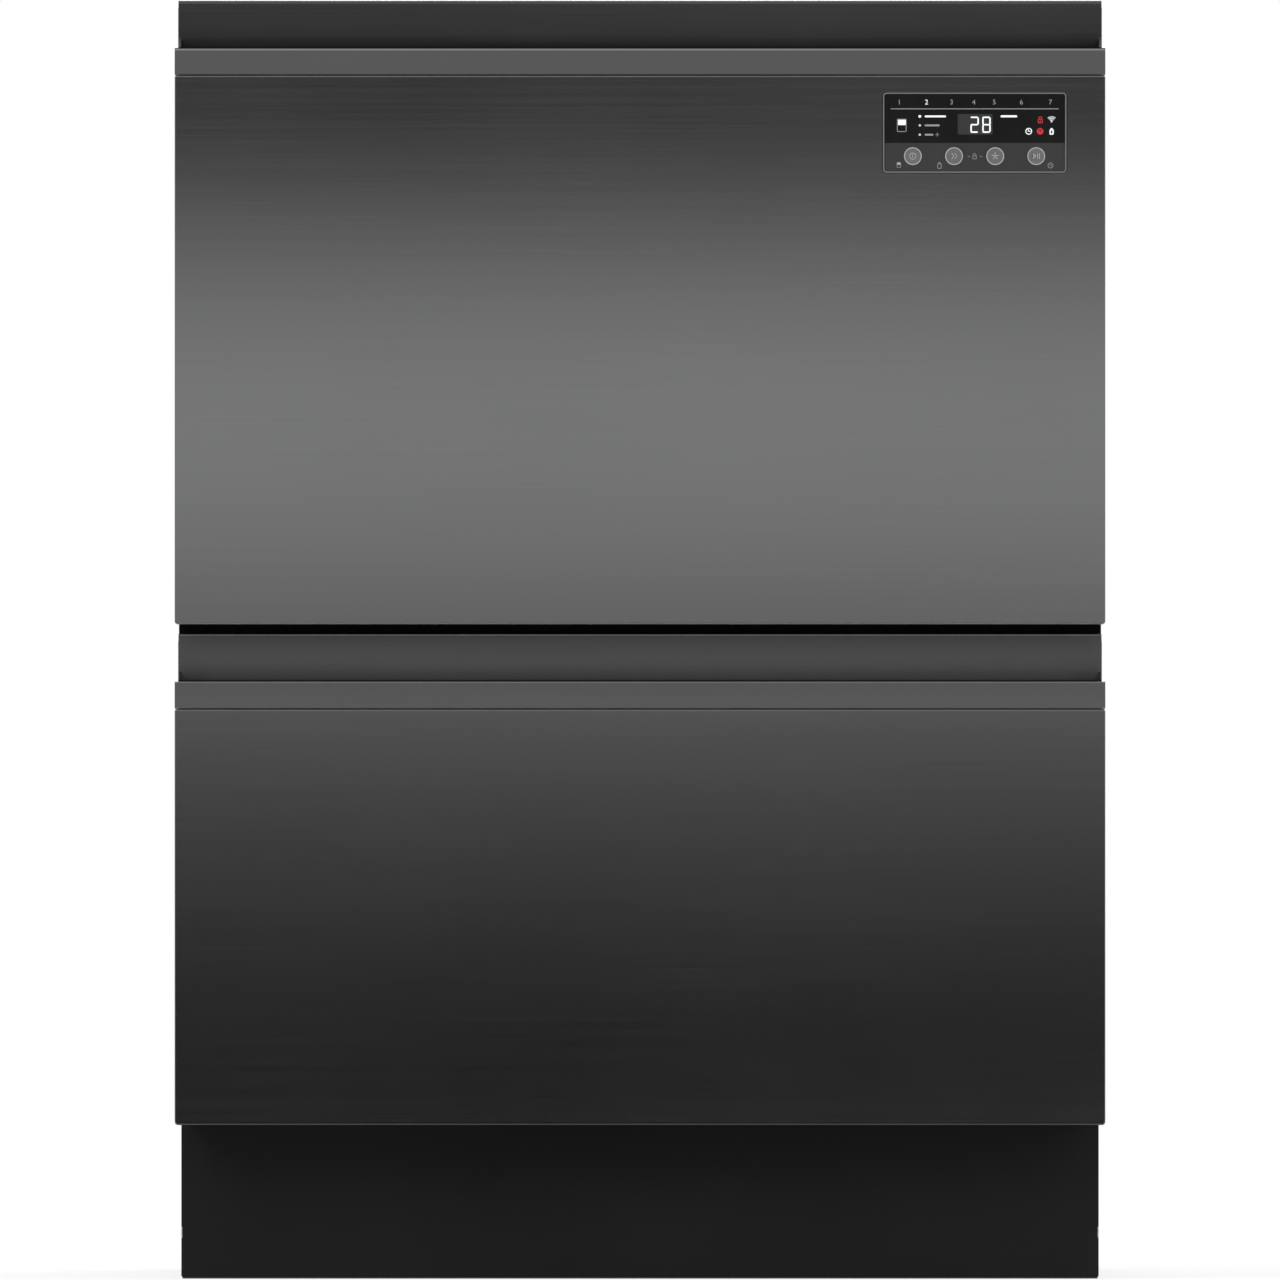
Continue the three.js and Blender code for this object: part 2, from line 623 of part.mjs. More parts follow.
// Screw foot: a round pad, a hexagon for the spanner and a long stem up through the tray's boss.
function foot(x, y) {
  const pad = turned([[0, 0], [FOOT_RADIUS, 0], [FOOT_RADIUS - 2, FOOT_PAD], [0, FOOT_PAD]], 14);
  const hexagon = barZ(0, 0, FOOT_BOSS_RADIUS - 1, [FOOT_PAD - OVER, BASE_HEIGHT - FIT], 6);
  const stem = barZ(0, 0, STEM_RADIUS, [FOOT_PAD, BASE_HEIGHT + FOOT_BOSS + FOOT_TRAVEL], STEM_SIDES);
  return join(pad, hexagon, stem).translate([x, y, 0]);
}

// Box of electronics on the base tray, with a lipped cover, cooling slots and sockets for the leads.
function controlModule() {
  const floor = trayFloorZ + FIT;
  const top = floor + MODULE.height;
  const x0 = MODULE.inset - sideInnerX;
  const x1 = x0 + MODULE.width;
  const y0 = trayFrontY + MODULE.setback;
  const y1 = y0 + MODULE.length;
  const coverZ = top - MODULE.cover;
  const lip = MODULE.lip;
  const under = roundedRect([x0 + lip, x1 - lip], [y0 + lip, y1 - lip], MODULE.corner - lip);
  const body = prismZ(under, [floor, coverZ], 2);
  const cover = prismZ(roundedRect([x0, x1], [y0, y1], MODULE.corner), [coverZ - OVER, top], 2);
  const slots = range(MODULE.slots).map((i) => {
    const x = x0 + MODULE.margin + i * MODULE.slotPitch;
    return box([x, x + MODULE.slotWidth], [y0 + MODULE.margin, y1 - MODULE.margin], [top - lip, top + OVER]);
  });
  const socketYs = [y1 - MODULE.socketDepth, y1 + OVER];
  const socketZs = [floor + MODULE.socketDepth, coverZ - MODULE.socket];
  const sockets = range(MODULE.sockets).map((i) => {
    const x = x1 - MODULE.margin - i * MODULE.socketPitch;
    return box([x - MODULE.socket, x], socketYs, socketZs);
  });
  return cut(join(body, cover), slots, sockets);
}

// Water inlet valve: threaded tail for the hose at the rear, coil on top, foot on the tray.
function inletValve() {
  const { z, radius, flange: plate, coil, bore } = VALVE;
  const x = valveX;
  const end = rearInnerY - VALVE.setback;
  const start = end - VALVE.length;
  const coilYs = [start + WALL, start + WALL + 2 * coil];
  const tail = barY(x, z, VALVE.thread, [end - OVER, backY], 14);
  const body = barY(x, z, radius, [start, end], 10);
  const flange = box([x - plate, x + plate], [end - WALL, end], [z - plate, z + plate]);
  const top = z + radius + 2 * coil;
  const winding = prismY(roundedRect([x - coil, x + coil], [z, top], WALL), coilYs, 2);
  const base = box([x - coil, x + coil], [coilYs[0], coilYs[0] + 2 * WALL], [trayFloorZ + FIT, z]);
  const hole = barY(x, z, bore, [end - 2 * WALL, backY + OVER], 10);
  return cut(join(body, tail, flange, winding, base), hole);
}

// ================================================================ runners, right-hand side
// A channel lying along Y: its web at the high or low X end of the flanges.
function channel([x0, x1], webAtHigh, halfHeight, ys) {
  const web = webAtHigh ? [x1 - RUNNER_SHEET, x1] : [x0, x0 + RUNNER_SHEET];
  return join(
    box(web, ys, [-halfHeight, halfHeight]),
    box([x0, x1], ys, [halfHeight - RUNNER_SHEET, halfHeight]),
    box([x0, x1], ys, [-halfHeight, -halfHeight + RUNNER_SHEET]),
  );
}

const runnerStep = RUNNER_SHEET + RUNNER_PLAY;
const innerRunnerY = [rimFrontY + RUNNER_PLAY, rearInnerY - RUNNER_REAR_GAP];

function runnerYs(order) {
  return innerRunnerY.map((y) => y - RUNNER_STAGGER * order);
}

function outerRunner() {
  return channel([insideX - RUNNER_FLANGE, insideX], true, RUNNER_HEIGHT / 2, runnerYs(2));
}

function middleRunner() {
  return channel([middleFlangeX, middleWebX], true, RUNNER_HEIGHT / 2 - runnerStep, runnerYs(1));
}

function innerRunner() {
  return channel([innerWebX, innerFlangeX], false, RUNNER_HEIGHT / 2 - 2 * runnerStep, runnerYs(0));
}

// ================================================================ lids
const lidHalfWidth = rimHalfWidth - LID_SIDE_GAP;
const lidYs = [rimFrontY + LID_FRONT_GAP, rimBackY - LID_SIDE_GAP];
const lidMiddleY = (lidYs[0] + lidYs[1]) / 2;
const lidPinZ = LID_REST + LID_THICKNESS / 2;
const lidPinYs = [lidYs[0] + LID_PIN_INSET, lidYs[1] - LID_PIN_INSET];
const lifterInnerX = insideX - LIFTER_REACH;

// Lid: an inverted tray with stiffening ribs on top, hung from four pins. Z is above the tub's rim.
function lid() {
  const { height, width, spread, margin } = LID_RIB;
  const ribTop = LID_REST + LID_THICKNESS;
  const top = ribTop - height;
  const half = lidHalfWidth;
  const inner = half - LID_SKIRT;
  const insetYs = [lidYs[0] + LID_SKIRT, lidYs[1] - LID_SKIRT];
  const shell = prismZ(roundedRect([-half, half], lidYs, TUB_CORNER), [LID_REST, top], TUB_CORNER_STEPS);
  const hollow = prismZ(
    roundedRect([-inner, inner], insetYs, TUB_CORNER - LID_SKIRT),
    [LID_REST - OVER, top - WALL],
    TUB_CORNER_STEPS,
  );
  const ribZs = [top - OVER, ribTop];
  const thin = width / 2;
  const long = [-spread, spread].map((x) => {
    return box([x - thin, x + thin], [lidYs[0] + margin, lidYs[1] - margin], ribZs);
  });
  const across = [lidMiddleY - spread, lidMiddleY + spread].map((y) => {
    return box([-half + margin, half - margin], [y - thin, y + thin], ribZs);
  });
  const pinXs = [half - OVER, insideX - LIFTER_PLATE - FIT];
  const pins = lidPinYs.flatMap((y) => [-1, 1].map((side) => {
    return barX(y, lidPinZ, LID_PIN_RADIUS, pinXs.map((x) => side * x), 8);
  }));
  return join(cut(shell, hollow), long, across, pins);
}

// Right-hand lid lifter: a long plate on the cabinet's side with two slotted cheeks for the lid's
// pins, and the gear motor that works them between the cheeks. Z is above the tub's rim.
function lidLifter() {
  const plateX = [insideX - LIFTER_PLATE, insideX];
  const inPlate = plateX[1] - OVER;
  const low = lidPinZ - LID_PIN_RADIUS - LIFTER_RIM;
  const high = lidPinZ + LID_PIN_RADIUS + LID_TRAVEL + LIFTER_RIM;
  const plateYs = [lidPinYs[0] - LIFTER_OVERRUN, lidPinYs[1] + LIFTER_OVERRUN];
  const plate = prismX(roundedRect(plateYs, [low, high], LIFTER_RIM), plateX, 1);
  const halfCheek = LIFTER_CHEEK / 2;
  const cheekXs = [lifterInnerX, inPlate];
  const cheeks = lidPinYs.map((y) => box(cheekXs, [y - halfCheek, y + halfCheek], [low, high]));
  const half = LID_PIN_RADIUS + FIT;
  const slotZs = [lidPinZ - half, lidPinZ + half + LID_TRAVEL];
  const slots = lidPinYs.map((y) => box([lifterInnerX - OVER, plateX[0]], [y - half, y + half], slotZs));
  const motorYs = [lidMiddleY - LIFTER_MOTOR / 2, lidMiddleY + LIFTER_MOTOR / 2];
  const motorShape = roundedRect(motorYs, inset([low, high], OVER), LIFTER_RIM);
  const motor = prismX(motorShape, inset(cheekXs, OVER), 1);
  const rackBar = box(
    [plateX[0] - LIFTER_PLATE, plateX[0] + OVER],
    [lidPinYs[0] + halfCheek - OVER, lidPinYs[1] - halfCheek + OVER],
    [high - 2 * LIFTER_RIM, high - LIFTER_RIM],
  );
  return cut(join(plate, cheeks, motor, rackBar), slots);
}

// ================================================================ drawer fronts
const fasciaFace = frontY + WINDOW_RECESS;
const fasciaXs = [FASCIA_CENTRE_X - FASCIA_WIDTH / 2, FASCIA_CENTRE_X + FASCIA_WIDTH / 2];

// Folded steel skin, open at the back. Z is the drawer's own, with 0 at the tub's bottom.
function frontPanel(bottom, top, fasciaZ) {
  const half = WIDTH / 2;
  const beyond = PAN_DEPTH / 4;
  const xs = [-half, half];
  const zs = [bottom, top];
  const outline = roundedRect(xs, zs, [CORNER, CORNER, TOP_CORNER, TOP_CORNER]);
  const folded = prismY(outline, [skinY, panBackY + beyond], 3, EDGE_ROUND);
  const behind = box(inset(xs, -OVER), [panBackY, panBackY + 2 * beyond], inset(zs, -OVER));
  const inner = CORNER - SHEET;
  const pocketShape = roundedRect(inset(xs, SHEET), inset(zs, SHEET), [inner, inner, 0, 0]);
  const pan = cut(folded, behind, prismY(pocketShape, [skinY + SHEET, panBackY + OVER], 3));
  if (fasciaZ === undefined) return pan;
  return cut(pan, fasciaOutline(fasciaZ, FIT, [skinY - OVER, skinY + SHEET + OVER]));
}

function fasciaOutline(z, grow, ys) {
  const us = inset(fasciaXs, -grow);
  const vs = inset([z - FASCIA_HEIGHT / 2, z + FASCIA_HEIGHT / 2], -grow);
  return prismY(roundedRect(us, vs, Math.max(FASCIA_CORNER + grow, INNER_CORNER)), ys, 2);
}

// Pull handle along the top of a front: a leaning lip, a finger channel behind it and a back wall.
function handle(top) {
  const bottom = top - HANDLE_HEIGHT;
  const lipTop = bottom + LIP_HEIGHT;
  const t = HANDLE_SHEET;
  const wallFront = panBackY - t;
  const lipMiddle = skinY + LIP_LEAN + t / 2;
  const lipInner = lipMiddle + t / 2;
  const radius = (wallFront - lipInner) / 2;
  const middle = lipInner + radius;
  const low = lipTop - CHANNEL_DROP + radius;
  const lip = new THREE.Shape();
  lip.moveTo(skinY, bottom);
  lip.lineTo(skinY + LIP_RETURN, bottom);
  lip.lineTo(skinY + LIP_RETURN, bottom + t);
  lip.lineTo(skinY + t, bottom + t);
  lip.lineTo(lipInner, lipTop - t / 2);
  lip.absarc(lipMiddle, lipTop - t / 2, t / 2, 0, Math.PI);
  const scoop = new THREE.Shape();
  scoop.moveTo(lipMiddle, lipTop - t);
  scoop.lineTo(lipMiddle, low);
  scoop.absarc(middle, low, radius + t / 2, Math.PI, 1.5 * Math.PI);
  scoop.absarc(middle, low, radius + t, 1.5 * Math.PI, 2 * Math.PI);
  scoop.lineTo(panBackY, top - t / 2);
  scoop.absarc(panBackY - t / 2, top - t / 2, t / 2, 0, Math.PI);
  scoop.lineTo(wallFront, low);
  scoop.absarc(middle, low, radius, 2 * Math.PI, Math.PI, true);
  scoop.lineTo(lipInner, lipTop - t);
  const endCap = polygon([
    [skinY + t, bottom + t],
    [panBackY - t / 2, bottom + t],
    [panBackY - t / 2, lipTop + CHANNEL_DROP / 2],
    [middle, lipTop - t / 2],
    [lipMiddle, lipTop - t / 2],
  ]);
  return join(
    prismX(lip, [-WIDTH / 2, WIDTH / 2], 4),
    prismX(scoop, [-handleHalf, handleHalf], 4),
    prismX(endCap, [-handleHalf, -handleHalf + t]),
    prismX(endCap, [handleHalf - t, handleHalf]),
  );
}

// Liner: the pressed inner panel that closes the back of the front and carries the tub.
function frontLiner(bottom, top) {
  const half = WIDTH / 2 - LINER_MARGIN;
  const plateYs = [linerFrontY, linerFrontY + LINER_SHEET];
  const plateShape = roundedRect([-half, half], inset([bottom, top], LINER_MARGIN), LINER_CORNER);
  const plate = prismY(plateShape, plateYs, 1);
  const xs = [-plugHalfWidth, plugHalfWidth];
  const zs = inset([0, tubHeight], PLUG_INSET);
  const t = LINER_SHEET;
  const plug = prismY(roundedRect(xs, zs, PLUG_CORNER), [plateYs[0], plugBackY], 3);
  const hollow = roundedRect(inset(xs, t), inset(zs, t), PLUG_CORNER - t);
  return cut(join(plate, plug), prismY(hollow, [plateYs[0] - OVER, plugBackY - t], 3));
}

// Fascia: the moulded housing of the control panel, with a proud bezel and four button holes.
function controlFascia(z) {
  const plateBack = fasciaFace + FASCIA_PLATE;
  const boxBack = fasciaFace + FASCIA_BOX;
  const shell = fasciaOutline(z, 0, [frontY, boxBack]);
  const windowFace = fasciaOutline(z, -BEZEL, [frontY - OVER, fasciaFace]);
  const hollow = fasciaOutline(z, -WALL, [plateBack, boxBack + OVER]);
  const through = [frontY - OVER, boxBack + OVER];
  const holes = Object.values(BUTTON_OFFSETS).map((offset) => {
    return barY(FASCIA_CENTRE_X + offset, z - BUTTON_DROP, BUTTON_RADIUS + FIT, through, BUTTON_SIDES);
  });
  return cut(shell, windowFace, hollow, holes);
}

// Push button: a round cap with a dished face and a flange that keeps it behind the fascia.
function button(x, z) {
  const flangeZ = skinY - fasciaFace - FASCIA_PLATE - FIT;
  const profile = [
    [0, -BUTTON_LENGTH],
    [BUTTON_RADIUS + BUTTON_FLANGE, -BUTTON_LENGTH],
    [BUTTON_RADIUS + BUTTON_FLANGE, flangeZ],
    [BUTTON_RADIUS, flangeZ],
    [BUTTON_RADIUS, 0],
    [0, -BUTTON_DISH],
  ];
  return turned(profile, BUTTON_SIDES).rotate([90, 0, 0]).translate([x, skinY, z]);
}

// ================================================================ tub
// How far the tub's walls have leaned in at a height.
const draftAt = (z) => (TUB_DRAFT * (tubHeight - z)) / (tubHeight - TUB_UNDERSIDE);

// The tub's drafted form between two heights, a wall's thickness inside its outer face.
function tubForm([z0, z1], thickness) {
  const [halfX, halfY] = [tubHalfWidth - thickness, tubHalfLength - thickness];
  const outline = roundedRect([-halfX, halfX], [-halfY, halfY], TUB_CORNER - thickness);
  const settings = { depth: z1 - z0, bevelEnabled: false };
  const geometry = new THREE.ExtrudeGeometry(traced(outline, TUB_CORNER_STEPS), settings);
  geometry.translate(0, 0, z0);
  const at = geometry.getAttribute("position");
  for (let i = 0; i < at.count; i++) {
    const lean = draftAt(at.getZ(i));
    at.setX(i, (at.getX(i) * (halfX - lean)) / halfX);
    at.setY(i, tubMiddleY + (at.getY(i) * (halfY - lean)) / halfY);
  }
  return toSolid(geometry);
}

const sumpOuter = SUMP_RADIUS + SUMP_LEDGE + WALL;
const floorReach = Math.hypot(tubHalfWidth, tubHalfLength);
const floorSlope = FLOOR_RISE / (floorReach - sumpOuter);
const floorAt = (radius) => TUB_FLOOR + Math.max(0, radius - sumpOuter) * floorSlope;
const about = (solid) => solid.translate([0, tubMiddleY, 0]);

function tubHollow() {
  const top = tubHeight + 2 * OVER;
  const walls = tubForm([TUB_FLOOR - OVER, tubHeight + OVER], TUB_WALL);
  const aboveFloor = about(turned([
    [0, TUB_FLOOR],
    [sumpOuter, TUB_FLOOR],
    [floorReach, TUB_FLOOR + FLOOR_RISE],
    [floorReach, top],
    [0, top],
  ], SUMP_SIDES));
  const well = about(turned([
    [0, SUMP_BOTTOM + WALL],
    [SUMP_RADIUS - SUMP_SLOPE, SUMP_BOTTOM + WALL],
    [SUMP_RADIUS, TUB_UNDERSIDE],
    [SUMP_RADIUS + SUMP_LEDGE, TUB_UNDERSIDE],
    [SUMP_RADIUS + SUMP_LEDGE, TUB_FLOOR + OVER],
    [0, TUB_FLOOR + OVER],
  ], SUMP_SIDES));
  return [walls.intersect(aboveFloor), well];
}

// Moulded rail on the tub's side, with open pockets below, that the inner runner is screwed to.
function tubLedge(side) {
  const root = tubHalfWidth - TUB_DRAFT - TUB_WALL / 2;
  const outer = tubHalfWidth + LEDGE_SKIN;
  const ys = inset([tubFrontY, tubBackY], LEDGE_INSET);
  const zs = [RUNNER_CENTRE - LEDGE_HEIGHT / 2, RUNNER_CENTRE + LEDGE_HEIGHT / 2];
  const rail = box([side * root, side * ledgeX], ys, zs);
  const pitch = (ys[1] - ys[0]) / LEDGE_POCKETS;
  const pockets = range(LEDGE_POCKETS).map((i) => {
    const start = ys[0] + i * pitch;
    const pocketXs = [side * outer, side * (ledgeX - WALL)];
    return box(pocketXs, inset([start, start + pitch], WALL), [zs[0] - OVER, zs[1] - WALL]);
  });
  return cut(rail, pockets);
}

function tub() {
  const body = tubForm([TUB_UNDERSIDE, tubHeight], 0);
  const sump = about(turned([
    [0, SUMP_BOTTOM],
    [SUMP_RADIUS - SUMP_SLOPE, SUMP_BOTTOM],
    [sumpOuter, TUB_UNDERSIDE - WALL],
    [sumpOuter, TUB_UNDERSIDE + OVER],
    [0, TUB_UNDERSIDE + OVER],
  ], SUMP_SIDES));
  const rimXs = [-rimHalfWidth, rimHalfWidth];
  const rimYs = [rimFrontY, rimBackY];
  const rimOutline = (by) => roundedRect(inset(rimXs, by), inset(rimYs, by), RIM_CORNER - by);
  const skirtBottom = tubHeight - RIM_THICKNESS - RIM_SKIRT;
  const rim = cut(
    prismZ(rimOutline(0), [skirtBottom, tubHeight], TUB_CORNER_STEPS),
    prismZ(rimOutline(RIM_WALL), [skirtBottom - OVER, tubHeight - RIM_THICKNESS], TUB_CORNER_STEPS),
  );
  const dispenserWindow = box(
    inset([-DISPENSER_WIDTH / 2, DISPENSER_WIDTH / 2], -FIT),
    [tubFrontY - OVER, tubFrontY + TUB_WALL + TUB_DRAFT + OVER],
    inset(dispenserZs, -FIT),
  );
  const outside = join(body, sump, rim, tubLedge(1), tubLedge(-1));
  return cut(outside, tubHollow(), dispenserWindow);
}

// ================================================================ wash system
// Flat motor under the sump, ribbed, with the drain pump and its outlet at the rear.
function washMotor() {
  const top = SUMP_BOTTOM - FIT;
  const foot = MOTOR_RADIUS - MOTOR_FLARE;
  const body = turned([
    [0, 0],
    [foot, 0],
    [foot + 2 * WALL, top / 3],
    [MOTOR_RADIUS, top / 2],
    [MOTOR_RADIUS - 2 * WALL, top],
    [0, top],
  ], SUMP_SIDES);
  const rib = box([foot, MOTOR_RADIUS - WALL], [-WALL / 2, WALL / 2], [WALL, top - WALL]);
  const ribs = range(MOTOR_RIBS).map((i) => rib.rotate([0, 0, (360 * i) / MOTOR_RIBS]));
  const pumpY = MOTOR_RADIUS + PUMP_RADIUS / 3;
  const pumpBack = pumpY + PUMP_RADIUS;
  const outletX = PUMP_RADIUS - OUTLET_RADIUS - FIT;
  const outletZ = top - OUTLET_RADIUS - WALL;
  const pump = barZ(0, pumpY, PUMP_RADIUS, [WALL, top], 14);
  const outlet = barY(outletX, outletZ, OUTLET_RADIUS, [pumpY, pumpBack + OUTLET_LENGTH], 10);
  const bore = barY(outletX, outletZ, OUTLET_RADIUS - 2, [pumpBack, pumpBack + OUTLET_LENGTH + OVER], 10);
  return about(cut(join(body, ribs, pump, outlet), bore));
}

const plateBottom = TUB_UNDERSIDE + FIT;
const plateTop = plateBottom + PLATE_THICKNESS;
const bossTop = plateTop + PLATE_BOSS;
const spindleTop = bossTop + SPINDLE_HEIGHT;
const hubBottom = bossTop + FIT;

// Filter plate: a slotted disc with the spray arm's spindle and the round drain filter with its grip.
function filterPlate() {
  const disc = barZ(0, 0, SUMP_RADIUS + SUMP_LEDGE - PLATE_GAP, [plateBottom, plateTop], SUMP_SIDES);
  const boss = barZ(0, 0, PLATE_BOSS_RADIUS, [plateTop - OVER, bossTop], 14);
  const spindle = barZ(0, 0, SPINDLE_RADIUS, [plateTop, spindleTop], STEM_SIDES);
  const filterZs = [plateTop - OVER, plateTop + PLATE_BOSS / 3];
  const filter = barZ(0, DRAIN_FILTER_OFFSET, DRAIN_FILTER_RADIUS, filterZs, 14);
  const gripReach = DRAIN_FILTER_RADIUS - WALL;
  const gripYs = inset([DRAIN_FILTER_OFFSET, DRAIN_FILTER_OFFSET], -WALL / 2);
  const grip = box([-gripReach, gripReach], gripYs, [plateTop, bossTop]);
  const slotXs = [PLATE_BOSS_RADIUS + PLATE_SLOT.start, PLATE_BOSS_RADIUS + PLATE_SLOT.end];
  const half = PLATE_SLOT.width / 2;
  const slot = box(slotXs, [-half, half], [plateBottom - OVER, plateTop + OVER]);
  const slots = range(PLATE_SLOTS).map((i) => slot.rotate([0, 0, (360 * i) / PLATE_SLOTS]));
  return about(cut(join(disc, boss, spindle, filter, grip), slots));
}

// Spray arm: two swept blades on a hub that turns on the spindle, with a row of jets along each.
function sprayArm() {
  const zs = [hubBottom + ARM_LIFT, hubBottom + ARM_LIFT + ARM_THICKNESS];
  const half = ARM_WIDTH / 2;
  const tipX = ARM_REACH - ARM_TIP;
  const blade = new THREE.Shape();
  blade.moveTo(0, -half);
  blade.quadraticCurveTo(ARM_REACH / 2, -half, tipX, half / 2);
  blade.absarc(tipX, half / 2 + ARM_TIP, ARM_TIP, -Math.PI / 2, Math.PI / 2);
  blade.quadraticCurveTo(ARM_REACH / 2, half + WALL, 0, half);
  const arm = prismZ(blade, zs, 4);
  const hubTop = zs[1] + ARM_CAP;
  const hub = turned([
    [0, hubBottom],
    [ARM_HUB_RADIUS, hubBottom],
    [ARM_HUB_RADIUS, zs[1]],
    [ARM_HUB_RADIUS - ARM_CAP, hubTop],
    [0, hubTop],
  ], 12);
  const { first, pitch, length, width, depth, sweep } = ARM_JET;
  const jet = box([-length / 2, length / 2], [-width / 2, width / 2], [zs[1] - depth, zs[1] + OVER]);
  const jets = range(ARM_JETS).map((i) => {
    const x = first + pitch * i;
    return jet.translate([x, (x / ARM_REACH) ** 2 * sweep, 0]);
  });
  const bladeWithJets = cut(arm, jets);
  const boreRadius = (SPINDLE_RADIUS + FIT) / Math.cos(Math.PI / STEM_SIDES);
  const bore = barZ(0, 0, boreRadius, [hubBottom - OVER, spindleTop + FIT], STEM_SIDES);
  return about(cut(join(bladeWithJets, bladeWithJets.rotate([0, 0, 180]), hub), bore));
}

// ================================================================ racks
const wireOver = 2 * WIRE - WIRE_BITE; // height of one layer of wires over the one it is welded to
const rackHalfWidth = tubHalfWidth - TUB_WALL - RACK_GAP;
const rackHalfLength = tubHalfLength - TUB_WALL - RACK_GAP;
const rackTop = RACK_BASE + RACK_WALL;
const tineBaseZ = RACK_BASE + WIRE + FINE_WIRE - WIRE_BITE;
const tineRodZ = RACK_BASE + WIRE + FINE_WIRE + FIT;
const crossPitch = (2 * (rackHalfLength - CROSS_INSET)) / (CROSS_WIRES - 1);
const longPitch = (2 * (rackHalfWidth - LONG_INSET)) / (LONG_WIRES - 1);
const crossYs = range(CROSS_WIRES).map((i) => tubMiddleY + (i - (CROSS_WIRES - 1) / 2) * crossPitch);
const longXs = range(LONG_WIRES).map((i) => (i - (LONG_WIRES - 1) / 2) * longPitch);
const clipYs = [crossYs[1], crossYs.at(-2)];
const fixedTinesX = FIXED_TINES_IN - rackHalfWidth;
const foldingTinesX = FOLDING_TINES_IN - rackHalfWidth;
const cupRackZ = tubHeight - CUP_RACK_DROP;

// A wire bent up at both ends to the two given heights.
function basketWire(along, half, low, ends) {
  const b = RACK_BEND;
  const profile = [
    [-half, ends[0]],
    [-half, low + b],
    [-half + b, low],
    [half - b, low],
    [half, low + b],
    [half, ends[1]],
  ];
  return wire(profile.map(([u, z]) => along(u, z)));
}

// Half of the rail that tops the upright ends of the wires; the halves lap at the front and rear.
function railHalf(side) {
  const x = side * rackHalfWidth;
  const y = rackHalfLength;
  const lap = -side;
  const c = RAIL_CORNER;
  return wire([
    [lap, tubMiddleY - y, rackTop],
    [x - side * c, tubMiddleY - y, rackTop],
    [x, tubMiddleY - y + c, rackTop],
    [x, tubMiddleY + y - c, rackTop],
    [x - side * c, tubMiddleY + y, rackTop],
    [lap, tubMiddleY + y, rackTop],
  ], RAIL_WIRE);
}

// Two tines stand between each pair of cross wires, a quarter of the pitch from either.
const tineYs = range(2 * (CROSS_WIRES - 1)).map((i) => crossYs[0] + crossPitch * (0.25 + i / 2));

function tinesOn(x, z) {
  const rod = barY(x, z, FINE_WIRE, [tineYs[0] - CLIP_LENGTH, tineYs.at(-1) + CLIP_LENGTH], ROD_SIDES);
  const tines = tineYs.map((y) => wire([[x, y, z], [x, y, z + TINE_HEIGHT]], TINE_WIRE));
  return join(rod, tines);
}

// A plastic clip with a slot, open at the top, that holds a rod along Y.
function rodClip(x, y, z, bottom) {
  const half = CLIP_WIDTH / 2;
  const ys = [y - CLIP_LENGTH / 2, y + CLIP_LENGTH / 2];
  const top = z + FINE_WIRE;
  const slot = FINE_WIRE + FIT;
  const block = box([x - half, x + half], ys, [bottom, top]);
  return cut(block, box([x - slot, x + slot], inset(ys, -OVER), [z - slot, top + OVER]));
}

// Dish rack: U-shaped wires both ways, a rail round the top, a row of fixed tines, and clips for the
// folding tines. The upper rack also has two posts on the right that carry the cup rack.
function rack(withCupPosts) {
  const postTop = cupRackZ - FINE_WIRE - 2 * WIRE_BITE;
  const cross = crossYs.map((y) => {
    const tall = withCupPosts && clipYs.includes(y);
    return basketWire((u, z) => [u, y, z], rackHalfWidth, RACK_BASE, [rackTop, tall ? postTop : rackTop]);
  });
  const longBase = RACK_BASE - wireOver;
  const long = longXs.map((x) => {
    return basketWire((u, z) => [x, tubMiddleY + u, z], rackHalfLength, longBase, [rackTop, rackTop]);
  });
  const legs = [longXs[0], longXs.at(-1)].flatMap((x) => clipYs.map((y) => {
    const foot = floorAt(Math.hypot(x, y - tubMiddleY)) + LEG_CLEARANCE;
    return wire([[x, y, foot], [x, y, RACK_BASE]], FINE_WIRE);
  }));
  const clips = clipYs.map((y) => rodClip(foldingTinesX, y, tineRodZ, RACK_BASE));
  const post = (y) => rodClip(rackHalfWidth, y, cupRackZ, cupRackZ - CUP_POST);
  const posts = withCupPosts ? clipYs.map(post) : [];
  return join(cross, long, railHalf(1), railHalf(-1), tinesOn(fixedTinesX, tineBaseZ), legs, clips, posts);
}

// Cup rack: a wire shelf hinged on its rod in the posts' clips, lying out over the rack.
function cupRack() {
  const ends = inset(clipYs, -crossPitch / 4);
  const root = rackHalfWidth - WIRE_BITE;
  const edge = rackHalfWidth - CUP_RACK_REACH;
  const c = RAIL_CORNER / 2;
  const z = cupRackZ;
  const rod = barY(rackHalfWidth, z, FINE_WIRE, inset(ends, -CLIP_LENGTH / 2), ROD_SIDES);
  const frame = wire([
    [root, ends[0], z],
    [edge + c, ends[0], z],
    [edge, ends[0] + c, z],
    [edge, ends[1] - c, z],
    [edge + c, ends[1], z],
    [root, ends[1], z],
  ], FINE_WIRE);
  const dip = edge + CUP_DIP.length;
  const bars = range(CROSS_WIRES - 3).map((i) => {
    const y = clipYs[0] + crossPitch * (i + 0.5);
    const along = [[root, z], [dip + CUP_DIP.length, z], [dip, z - CUP_DIP.depth], [edge, z]];
    return wire(along.map(([x, height]) => [x, y, height]), FINE_WIRE);
  });
  return join(rod, frame, bars);
}

// Slots through two opposite walls of the basket, spread about the middle of a wall.
function basketSlots(middle, wallLength, slotAt) {
  const count = Math.floor((wallLength - 2 * BASKET_SLOT) / BASKET_PITCH) + 1;
  return range(count).map((i) => {
    const at = middle + (i - (count - 1) / 2) * BASKET_PITCH;
    return slotAt([at - BASKET_SLOT / 2, at + BASKET_SLOT / 2]);
  });
}

